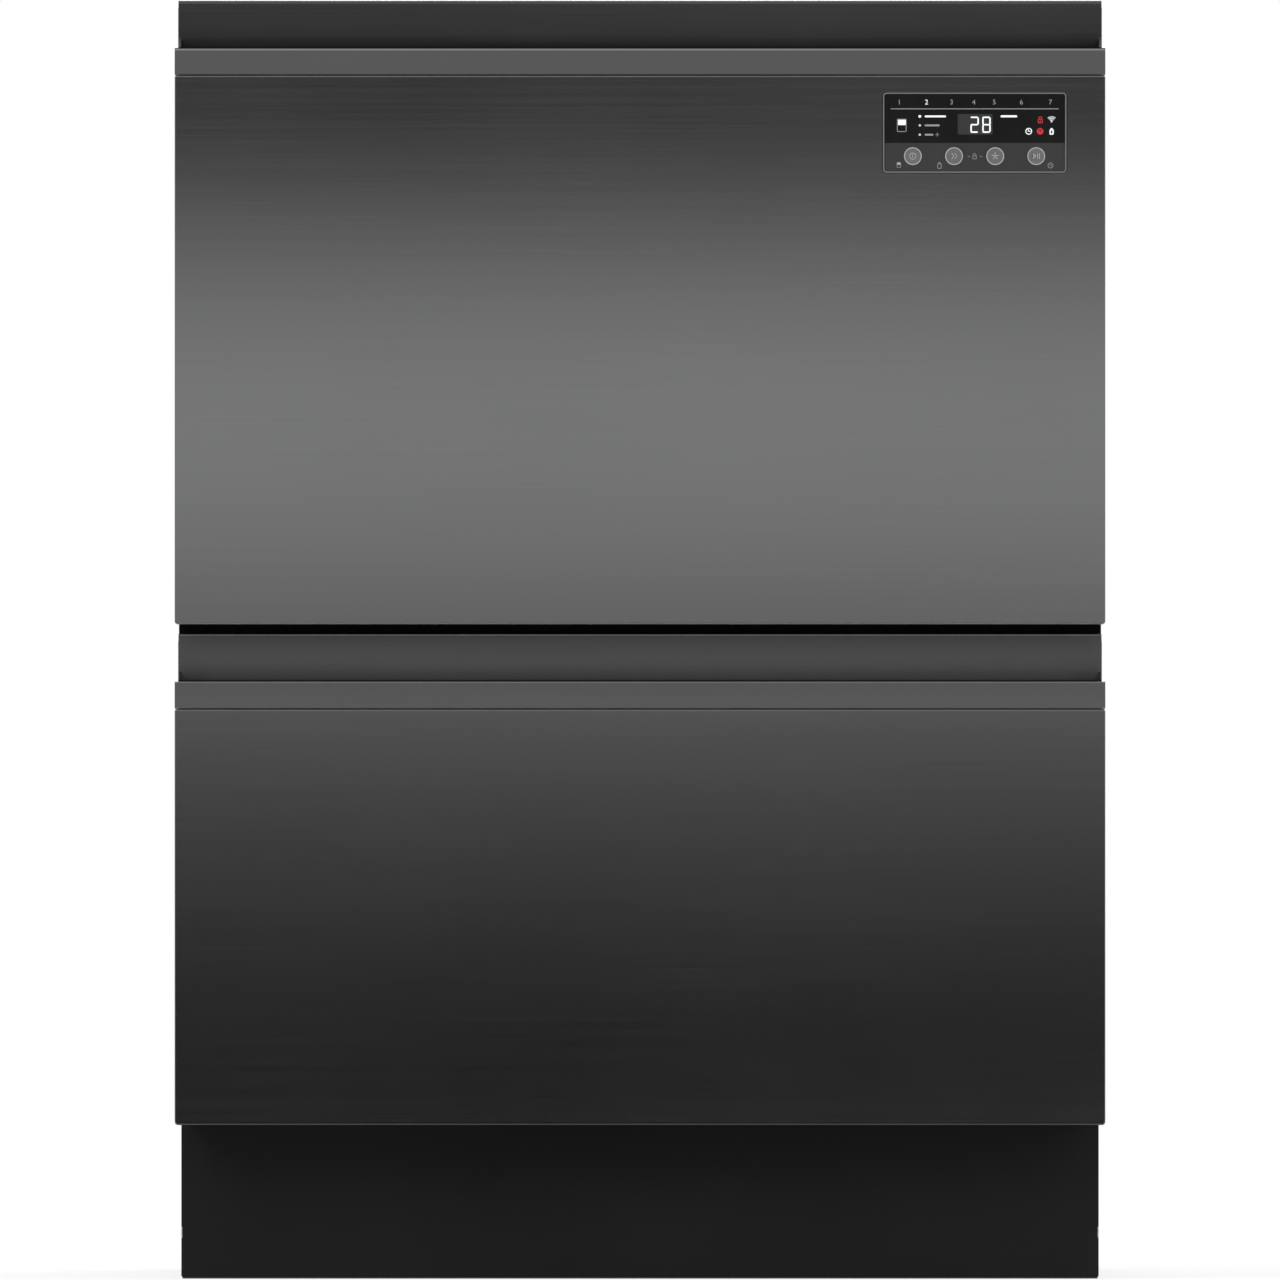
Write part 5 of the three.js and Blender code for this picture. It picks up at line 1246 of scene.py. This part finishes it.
@dataclass
class Rack(Tier):
    """The wire rack of one drawer, its tines and, in the upper one, the cup rack."""

    middle_y: float = -3.0
    half_width: float = 245.0
    half_length: float = 220.0
    base: float = 70.0
    foot: float = 42.2
    top: float = 115.0
    bend: float = 9.0
    wire: float = 2.2
    fine: float = 1.8
    rail: float = 2.6
    tine: float = 1.5
    corner: float = 20.0
    cross_pitch: float = 76.0
    tine_height: float = 78.0
    fixed_x: float = -165.0
    folding_x: float = -75.0
    pivot: float = 4.3
    clip_half: Pair = (5.5, 4.0)
    cup_z: float = 182.0
    cup_edge: float = 140.0
    cup_gap: float = 0.8
    cup_overhang: float = 19.0
    cup_corner: float = 10.0
    dip: Pair = (17.0, 5.0)

    def __post_init__(self) -> None:
        """Works out where the wires lie."""
        super().__post_init__()
        self.cross_ys = [self.middle_y + (i - 2.5) * self.cross_pitch for i in range(6)]
        self.long_xs = [(i - 2) * 100.0 for i in range(5)]
        self.tine_ys = [self.cross_ys[0] + self.cross_pitch * (0.25 + i / 2) for i in range(10)]

    def bowed(self, shape: Shape, start: Point, across: Point, span: float, drops: Pair) -> None:
        """Adds a wire that goes down, across and up again.

        Args:
            shape: the shape that takes it.
            start: top of its first end.
            across: the way it crosses.
            span: distance between its upright ends.
            drops: lengths of the first and the second upright.
        """
        axis = Vector((0, 0, -1)).cross(Vector(across))
        wire = Wire(shape, start, (0, 0, -1), self.wire)
        wire.run(drops[0] - self.bend).turn(axis, 90, self.bend).run(span - 2 * self.bend)
        wire.turn(axis, 90, self.bend).run(drops[1] - self.bend).end()

    def comb(self, shape: Shape, x: float, z: float) -> None:
        """Adds a rod with its row of upright tines, each with a domed tip.

        Args:
            shape: the shape that takes it.
            x: where the rod lies.
            z: its height.
        """
        shape.rod((x, self.tine_ys[0] - 8, z), (x, self.tine_ys[-1] + 8, z), self.fine, 10)
        top = z + self.tine_height
        for y in self.tine_ys:
            shape.rod((x, y, z), (x, y, top - self.tine), self.tine, 8)
            shape.rod((x, y, top - self.tine), (x, y, top), self.tine, 8, self.tine * 0.45)

    def clip(self, shape: Shape, x: float, y: float, z: float, bottom: float) -> None:
        """Adds a moulded clip, open at the top, that holds a rod along y.

        Args:
            shape: the shape that takes it.
            x: where the rod lies.
            y: middle of the clip.
            z: height of the rod.
            bottom: underside of the clip.
        """
        slot, (width, length) = self.fine + 0.3, self.clip_half
        for side in SIDES.values():
            near, far = sorted((x + side * slot, x + side * width))
            shape.block((near, y - length, bottom), (far, y + length, z + self.fine), 0.8)
        shape.block((x - width, y - length, bottom), (x + width, y + length, z - slot), 0.5)

    def basket(self) -> Shape:
        """The rack's welded wires, with its rail, legs and fixed tines."""
        shape, y, x, z = Shape(), self.half_length, self.half_width, self.z
        drop = self.top - self.base
        for cross_y in self.cross_ys:
            tall = self.level is Level.UPPER and cross_y in (self.cross_ys[1], self.cross_ys[-2])
            rise = self.cup_z - 3.4 - self.base if tall else drop
            self.bowed(shape, (-x, cross_y, z + self.top), (1, 0, 0), 2 * x, (drop, rise))
        for long_x in self.long_xs:
            start = (long_x, self.middle_y - y, z + self.top)
            self.bowed(shape, start, (0, 1, 0), 2 * y, (drop + 3.6, drop + 3.6))
        rail = Wire(shape, (0, self.middle_y - y, z + self.top), (1, 0, 0), self.rail, 10)
        for length in (x, 2 * y, 2 * x, 2 * y):
            rail.run(length - self.corner * (1 if length == x else 2)).turn((0, 0, 1), 90, self.corner, 6)
        rail.run(x - self.corner)
        for leg_x in (self.long_xs[0], self.long_xs[-1]):
            for leg_y in (self.cross_ys[1], self.cross_ys[-2]):
                shape.rod((leg_x, leg_y, z + self.foot), (leg_x, leg_y, z + self.base), self.fine, 8)
        self.comb(shape, self.fixed_x, z + self.base + 3.2)
        return shape

    def fittings(self) -> Shape:
        """The moulded clips that hold the folding tines and the cup rack."""
        shape, z = Shape(), self.z
        for y in (self.cross_ys[1], self.cross_ys[-2]):
            self.clip(shape, self.folding_x, y, z + self.base + self.pivot, z + self.base)
            if self.level is Level.UPPER:
                self.clip(shape, self.half_width, y, z + self.cup_z, z + self.cup_z - 10)
        return shape

    def cups(self) -> Shape:
        """The folding shelf for cups, with dips for the stems of glasses."""
        shape, x, z = Shape(), self.half_width, self.z + self.cup_z
        low, high = self.cross_ys[1] - self.cup_overhang, self.cross_ys[-2] + self.cup_overhang
        start, corner, (dip, fall) = x - self.cup_gap, self.cup_corner, self.dip
        length = start - self.cup_edge
        shape.rod((x, low - 4, z), (x, high + 4, z), self.fine, 10)
        frame = Wire(shape, (start, low, z), (-1, 0, 0), self.fine)
        frame.run(length - corner).turn((0, 0, -1), 90, corner).run(high - low - 2 * corner)
        frame.turn((0, 0, -1), 90, corner).run(length - corner).end()
        slope, leg = math.degrees(math.atan2(fall, dip)), math.hypot(dip, fall) - 4
        for i in range(3):
            y = self.cross_ys[1] + self.cross_pitch * (i + 0.5)
            bar = Wire(shape, (start, y, z), (-1, 0, 0), self.fine)
            bar.run(length - 2 * dip - 2).turn((0, -1, 0), slope, 12, 2).run(leg)
            bar.turn((0, 1, 0), 2 * slope, 8, 4).run(leg).turn((0, -1, 0), slope, 12, 2).end()
        return shape

    def build(self) -> None:
        """Puts the round wires in place of the frame's plain ones."""
        rack = self.add(self.own("rack_wires"), self.basket(), self.body, RACK_COAT)
        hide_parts(self.own("rack"))
        self.add(self.own("rack_clips"), self.fittings(), self.body, BASKET_PLASTIC)
        comb = Shape()
        self.comb(comb, self.folding_x, self.z + self.base + self.pivot)
        tines = self.add(self.own("tine_row"), comb, self.own("folding_tines"), RACK_COAT)
        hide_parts(self.own("folding_tines"))
        if self.level is Level.UPPER:
            cups = self.add("upper_cup_shelf", self.cups(), "upper_cup_rack", RACK_COAT)
            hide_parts("upper_cup_rack")
            self.dress(BASKET_PLASTIC, "upper_cutlery_basket")


INK = 0.05
DIGIT_LINES = {
    "a": ((0.7, 10.0), (4.3, 10.0)), "b": ((5.0, 9.4), (5.0, 5.8)), "c": ((5.0, 4.7), (5.0, 1.1)),
    "d": ((0.7, 0.5), (4.3, 0.5)), "e": ((0.5, 4.7), (0.5, 1.1)), "f": ((0.5, 9.4), (0.5, 5.8)),
    "g": ((0.7, 5.25), (4.3, 5.25)),
}


class Marks(Shape):
    """Flat marks in the xz plane, as thick as ink, that look to the front."""

    def __init__(self, front: float) -> None:
        """Starts empty, with the y value of the marks' front."""
        super().__init__()
        self.front = front

    def bar(self, x: Pair, z: Pair, corner: float = 0.0) -> Shape:
        """Adds a filled rectangle."""
        return self.plate(*corners(x, (self.front, self.front + INK), z), corner, 3)

    def outline(self, x: Pair, z: Pair, corner: float, width: float) -> Shape:
        """Adds the outline of a rounded rectangle."""
        return self.frame(*corners(x, (self.front, self.front + INK), z), corner, width, 3)

    def dot(self, x: float, z: float, radius: float) -> Shape:
        """Adds a disc."""
        return self.rod((x, self.front + INK, z), (x, self.front, z), radius, 20)

    def ring(self, centre: Pair, radius: float, width: float, arc: Pair = (0.0, 360.0)) -> Shape:
        """Adds a round or part-round line.

        Args:
            centre: its middle, in x and z.
            radius: outer radius.
            width: width of the line.
            arc: where it starts and how far it goes, in degrees from +x towards +z.

        Returns:
            This shape.
        """
        middle, angle = Vector((centre[0], self.front, centre[1])), math.radians(arc[0])
        way = Vector((math.cos(angle), 0, math.sin(angle)))
        section = [middle + way * out + Vector((0, back, 0)) for out, back in
                   ((radius - width, 0), (radius, 0), (radius, INK), (radius - width, INK))]
        face = self.bm.faces.new([self.bm.verts.new(corner) for corner in section])
        whole = arc[1] >= 360
        bmesh.ops.spin(
            self.bm, geom=face.edges[:] if whole else [face], cent=middle, axis=(0, -1, 0),
            dvec=(0, 0, 0), angle=math.radians(arc[1]), steps=max(6, int(arc[1] / 12)),
            use_merge=whole, use_duplicate=False,
        )
        if whole and face.is_valid:
            bmesh.ops.delete(self.bm, geom=[face], context="FACES_ONLY")
        bmesh.ops.remove_doubles(self.bm, verts=self.bm.verts[:], dist=1e-4)
        return self

    def stroke(self, points: list[Pair], width: float) -> Shape:
        """Adds a line through points, as thin bars.

        Args:
            points: the points, each as x and z.
            width: width of the line.

        Returns:
            This shape.
        """
        half = width / 2
        for start, end in zip(points, points[1:]):
            along = Vector(end) - Vector(start)
            part = Shape().plate((-half, 0, -half), (along.length + half, INK, half), width * 0.4, 2)
            part.turned(-math.degrees(math.atan2(along.y, along.x)), "Y")
            self.pour(part.moved((start[0], self.front, start[1])))
        return self

    def bottle(self, x: float, z: float, width: float = 0.8) -> None:
        """Adds a small bottle with a cap."""
        self.outline((x - 1.35, x + 1.35), (z - 2.1, z + 1.3), 0.6, width)
        self.bar((x - 0.7, x + 0.7), (z + 1.45, z + 2.1), 0.2)

    def clock(self, x: float, z: float, radius: float = 2.15, width: float = 0.55) -> None:
        """Adds a small clock with its hands."""
        self.ring((x, z), radius, width)
        self.stroke([(x - 0.3, z + radius * 0.55), (x - 0.3, z), (x + radius * 0.45, z)], width)

    def padlock(self, x: float, z: float, size: float, width: float) -> None:
        """Adds a small padlock whose body stands on z.

        Args:
            x: its middle.
            z: underside of its body.
            size: how big it is; 1 is 3.2 mm wide.
            width: width of its lines.
        """
        self.outline((x - 1.6 * size, x + 1.6 * size), (z, z + 2.7 * size), 0.3, width)
        self.ring((x, z + 3.2 * size), 1.2 * size, width * 0.9, (0, 180))
        for side in SIDES.values():
            edge = x + side * (1.2 * size - width * 0.45)
            self.bar((edge - width * 0.45, edge + width * 0.45), (z + 2.6 * size, z + 3.2 * size))


@dataclass
class ControlPanel(Assembly):
    """The gloss panel in the upper front, with its printed marks and four keys."""

    face_y: float = -285.9
    bezel_y: float = -286.5
    key_y: float = -286.1
    lift: float = 0.06
    trim: tuple[Pair, Pair] = ((156.4, 274.4), (712.4, 764.0))
    display: tuple[Pair, Pair] = ((157.25, 273.55), (731.6, 763.15))
    window: tuple[Pair, Pair] = ((204.5, 226.9), (737.0, 750.2))
    figure_xs: tuple[float, ...] = (166.9, 184.4, 200.5, 214.8, 228.0, 245.5, 264.2)
    figure_z: float = 757.9
    option_zs: tuple[float, ...] = (748.7, 742.9, 736.9)
    option_ends: tuple[float, ...] = (196.9, 192.9, 188.8)
    option_x: float = 183.2
    dot_x: float = 180.1
    digit_xs: Pair = (212.6, 220.25)
    digit_z: float = 738.1
    alarm_x: float = 257.6
    radio_x: float = 264.9
    sign_z: float = 739.1
    foot_z: float = 717.1
    key_z: float = 723.1
    key_xs: dict[str, float] = field(
        default_factory=lambda: {"power": 175.6, "program": 202.1, "option": 228.6, "start": 255.0}
    )

    def marks(self, lift: float | None = None) -> Marks:
        """An empty shape for marks, on the display's glass or at another height on the fascia."""
        return Marks(self.face_y - (self.lift if lift is None else lift) - INK)

    def put(self, name: str, shape: Shape, finish: Finish) -> None:
        """Adds a piece that rides on the upper drawer."""
        self.add(name, shape, "upper_drawer", finish)

    def fields(self) -> None:
        """The bezel's trim line, the display's glass and the digit window."""
        glass_y, (x, z) = self.face_y - self.lift, self.trim
        line = Shape().frame(*corners(x, (self.bezel_y - INK, self.bezel_y), z), 2.4, 0.8)
        self.put("panel_trim", line, TRIM)
        for name, (x, z), y, finish in (
            ("display_field", self.display, (glass_y, self.face_y), DISPLAY_GLASS),
            ("digit_window", self.window, (glass_y - INK / 2, glass_y), WINDOW_GLASS),
        ):
            self.put(name, Shape().plate(*corners(x, y, z), 0.6), finish)

    def programs(self) -> None:
        """Seven figures over a line, with the second one chosen, and the options under them."""
        dim, bright = self.marks(), self.marks()
        for number, x in enumerate(self.figure_xs, 1):
            target = bright if number == 2 else dim
            target.text(str(number), 3.1, (x, target.front, self.figure_z), INK)
        dim.bar((161.3, 269.4), (753.3, 753.8))
        for target, z, end in zip((bright, dim, dim), self.option_zs, self.option_ends):
            target.bar((self.option_x, end), (z - 0.6, z + 0.6), 0.5)
        dim.stroke([(190.3, 737.0), (192.3, 737.0)], 0.4)
        dim.stroke([(191.3, 736.0), (191.3, 738.0)], 0.4)
        dim.outline((165.4, 171.5), (738.7, 747.1), 0.6, 0.45)
        self.put("resting_marks", dim, DIM_INK)
        bright.dot(self.dot_x, self.option_zs[0], 0.9)
        bright.bar((232.1, 242.7), (748.1, 749.4), 0.5)
        bright.bar((166.1, 171.0), (743.1, 746.5), 0.3)
        bright.clock(250.2, self.sign_z)
        bright.bottle(self.radio_x, self.sign_z - 0.1)
        self.put("chosen_marks", bright, BRIGHT_INK)

    def fan(self) -> None:
        """The fan of a radio link and the dots of the options that aren't chosen."""
        pale = self.marks()
        for radius in (1.7, 2.8, 3.9):
            pale.ring((self.radio_x, 744.9), radius, 0.75, (48, 84))
        pale.dot(self.radio_x, 745.3, 0.55)
        for z in self.option_zs[1:]:
            pale.dot(self.dot_x, z, 0.75)
        self.put("pale_marks", pale, PALE_INK)

    def digits(self) -> None:
        """Two seven-segment digits that show a plain number of minutes."""
        lit = self.marks()
        for left, shown in zip(self.digit_xs, ("abged", "abcdefg")):
            for name in shown:
                lit.stroke([(left + x, self.digit_z + z) for x, z in DIGIT_LINES[name]], 0.95)
        self.put("lit_digits", lit, BRIGHT_INK)

    def warnings(self) -> None:
        """A red padlock and a red disc with dark hands."""
        red, dark = self.marks(), self.marks(self.lift + 0.02)
        red.padlock(self.alarm_x, 744.3, 1.0, 0.6)
        red.dot(self.alarm_x, 745.6, 0.45)
        red.dot(self.alarm_x - 0.1, self.sign_z, 2.15)
        self.put("red_marks", red, RED_INK)
        dark.stroke([(256.9, 740.4), (257.5, 739.5), (258.4, 740.1)], 0.45)
        self.put("disc_hands", dark, DISPLAY_GLASS)

    def key_field_marks(self) -> None:
        """Small marks between and under the keys."""
        dim, pale = self.marks(0.0), self.marks(0.0)
        dim.padlock(215.3, 721.2, 0.85, 0.4)
        for x in (211.5, 219.5):
            dim.bar((x - 0.7, x + 0.7), (722.7, 723.1))
        dim.outline((165.2, 167.9), (715.6, 719.3), 0.4, 0.35)
        dim.bottle(192.7, self.foot_z, 0.45)
        dim.clock(264.2, self.foot_z, 1.8, 0.42)
        self.put("key_field_marks", dim, FIELD_MARK)
        self.put("small_drawer_mark", pale.bar((165.4, 167.7), (717.5, 719.1), 0.2), KEY_MARK)

    def sign(self, name: str, x: float, z: float) -> Marks:
        """The ring and the sign of one key.

        Args:
            name: which key.
            x: its middle.
            z: its middle.

        Returns:
            The marks, on the key's face.
        """
        sign = Marks(self.key_y - INK)
        sign.ring((x, z), 5.7, 0.6)
        if name == "power":
            sign.ring((x, z), 2.2, 0.45)
            sign.stroke([(x, z - 0.9), (x, z + 0.9)], 0.45)
        elif name == "program":
            for left in (x - 1.4, x + 0.6):
                sign.stroke([(left, z + 1.8), (left + 1.4, z), (left, z - 1.8)], 0.45)
        elif name == "option":
            for turn in range(5):
                way = math.radians(72 * turn + 90)
                sign.stroke([(x, z), (x + 2.2 * math.cos(way), z + 2.2 * math.sin(way))], 0.5)
        else:
            for part in (1.0, 0.5):
                low, high = (x - 2.2, z - 1.7 * part), (x - 2.2, z + 1.7 * part)
                sign.stroke([low, high, (x - 2.2 + 2.1 * part, z), low], 0.5)
            for bar in (x + 0.9, x + 2.1):
                sign.stroke([(bar, z + 1.6), (bar, z - 1.6)], 0.5)
        return sign

    def build(self) -> None:
        """Dresses the panel and prints its marks; those of a key ride on the key."""
        self.dress(KEY_GLASS, "control_fascia")
        self.dress(BUTTON_PLASTIC, *(f"{name}_button" for name in self.key_xs))
        self.fields()
        self.programs()
        self.fan()
        self.digits()
        self.warnings()
        self.key_field_marks()
        for name, x in self.key_xs.items():
            mark = self.sign(name, x, self.key_z)
            self.add(f"{name}_key_mark", mark, f"{name}_button", KEY_MARK, "button_plastic")


# ---------------------------------------------------------------- studio


WHITE = (1.0, 1.0, 1.0, 1.0)
# The card's heights in metres, and how bright it is there.
CARD_LEVELS = (
    (0.0, 0.0), (0.1, 0.0), (0.2, 0.07), (0.29, 0.2), (0.36, 0.34), (0.43, 0.64), (0.5, 0.92),
    (0.58, 1.0), (0.64, 0.78), (0.7, 0.34), (0.75, 0.05), (0.81, 0.06), (0.87, 0.35), (0.95, 0.95),
    (1.4, 0.95),
)

# Soft lamps: name, place, side, power, and whether gloss shows it.
LAMPS = (
    ("key_lamp", (-2.2, -2.6, 2.4), 1.8, 95.0, False),
    ("fill_lamp", (2.6, -2.0, 1.6), 2.0, 45.0, False),
    ("rear_lamp", (0.4, 2.6, 2.2), 1.8, 60.0, True),
)


@dataclass
class Studio:
    """The pale floor, the soft lamps, the white surround and the camera, in metres."""

    distance: float = 32.322
    height: float = 0.4117
    lens: float = 1400.0
    sensor: float = 36.0
    clip_end: float = 100.0
    floor_size: float = 30.0
    floor_fade: Pair = (0.9, 3.0)
    card_y: float = -0.95
    card_half: float = 1.5
    aim: Point = (0.0, 0.0, 0.4)

    def floor(self) -> None:
        """A plain pale floor that keeps the object's shadow."""
        shape = Shape()
        bmesh.ops.create_grid(shape.bm, x_segments=1, y_segments=1, size=self.floor_size / 2 / MM)
        made = shape.finish("floor")
        graph = Graph(bpy.data.materials.new("pale floor"))
        colour = graph.blend(graph.noise((2.0, 2.0, 2.0), 3.0), (0.86, 0.86, 0.86), (0.9, 0.9, 0.9))
        inputs = {"Base Color": colour, "Roughness": 0.9, "Specular IOR Level": 0.1}
        lit = graph.node("BsdfPrincipled", inputs).outputs[0]
        glow = graph.node("Emission", {"Color": WHITE, "Strength": 1.0}).outputs[0]
        seen = graph.node("LightPath").outputs["Is Camera Ray"]
        spot = graph.node("TexCoord").outputs["Object"]
        reach = graph.node("VectorMath", {0: spot}, operation="LENGTH").outputs["Value"]
        share = graph.math("MULTIPLY", seen, graph.spread(reach, 0.72, 1.0, *self.floor_fade))
        mixed = graph.node("MixShader", {0: share, 1: lit, 2: glow})
        made.data.materials.append(graph.close(mixed.outputs[0]))

    def surround(self) -> None:
        """A white world for the camera, gloss and glass, and a softer one for the light."""
        world = bpy.data.worlds.new("surround")
        bpy.context.scene.world = world
        graph = Graph(world)
        rays = graph.node("LightPath").outputs
        seen = graph.math("MAXIMUM", rays["Is Camera Ray"], rays["Is Glossy Ray"])
        seen = graph.math("MAXIMUM", seen, rays["Is Transmission Ray"])
        strength = graph.spread(seen, 0.55, 1.0, 0.0, 1.0)
        light = graph.node("Background", {"Color": WHITE, "Strength": strength})
        graph.close(light.outputs[0], "OutputWorld")

    def card(self) -> None:
        """A graded card in front of the object that only gloss sees, as a studio hangs one."""
        half, y, top = self.card_half / MM, self.card_y / MM, CARD_LEVELS[-1][0]
        made = Shape().block((-half, y - 4, 0), (half, y, top / MM)).finish("gradient_card")
        graph = Graph(bpy.data.materials.new("graded card"))
        position = graph.node("SeparateXYZ", {0: graph.node("TexCoord").outputs["Object"]}).outputs[2]
        ramp = graph.node("ValToRGB", {0: graph.math("DIVIDE", position, top)})
        ramp.color_ramp.interpolation = "EASE"
        stops = ramp.color_ramp.elements
        while len(stops) < len(CARD_LEVELS):
            stops.new(0.5)
        for stop, (height, level) in zip(stops, CARD_LEVELS):
            stop.position = height / top
            stop.color = (level, level, level, 1)
        made.data.materials.append(graph.close(graph.node("Emission", {"Color": ramp.outputs[0]}).outputs[0]))
        made.visible_camera = made.visible_diffuse = made.visible_shadow = made.visible_transmission = False

    def lamp(self, name: str, at: Point, size: float, power: float, gloss: bool) -> None:
        """Hangs a square soft lamp that looks at the object.

        Args:
            name: its name.
            at: its place, in metres.
            size: its side, in metres.
            power: its power, in watts.
            gloss: whether gloss shows it.
        """
        light = bpy.data.lights.new(name, "AREA")
        light.shape, light.size, light.energy = "SQUARE", size, power
        made = bpy.data.objects.new(name, light)
        made.location = at
        made.rotation_euler = (Vector(self.aim) - Vector(at)).to_track_quat("-Z", "Y").to_euler()
        made.visible_camera = False
        made.visible_glossy = gloss
        bpy.context.scene.collection.objects.link(made)

    def camera(self) -> None:
        """A long lens at the photograph's angle."""
        lens = bpy.data.cameras.new("camera")
        lens.lens, lens.sensor_width, lens.sensor_fit = self.lens, self.sensor, "HORIZONTAL"
        lens.clip_end = self.clip_end
        made = bpy.data.objects.new("camera", lens)
        made.location = (0.0, -self.distance, self.height)
        made.rotation_euler = Euler((math.pi / 2, 0, 0))
        bpy.context.scene.collection.objects.link(made)
        bpy.context.scene.camera = made

    def build(self) -> None:
        """Sets the whole scene."""
        bpy.context.scene.view_settings.view_transform = "Standard"
        self.camera()
        self.surround()
        self.floor()
        self.card()
        for settings in LAMPS:
            self.lamp(*settings)
        LOG.info("the studio is set")


def main() -> None:
    """Builds every sub-assembly in order, then the studio."""
    logging.basicConfig(level=logging.INFO, format="%(message)s")
    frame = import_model()
    nodes = frame["nodes"]
    groups: list[Assembly] = [Cabinet(nodes)]
    for level in Level:
        groups += [Runners(nodes, level), Bay(nodes, level), Drawer(nodes, level), Rack(nodes, level)]
    groups.append(ControlPanel(nodes))
    for group in groups:
        group.build()
        LOG.info("%s is built", type(group).__name__)
    Studio().build()


if __name__ == "__main__":
    main()
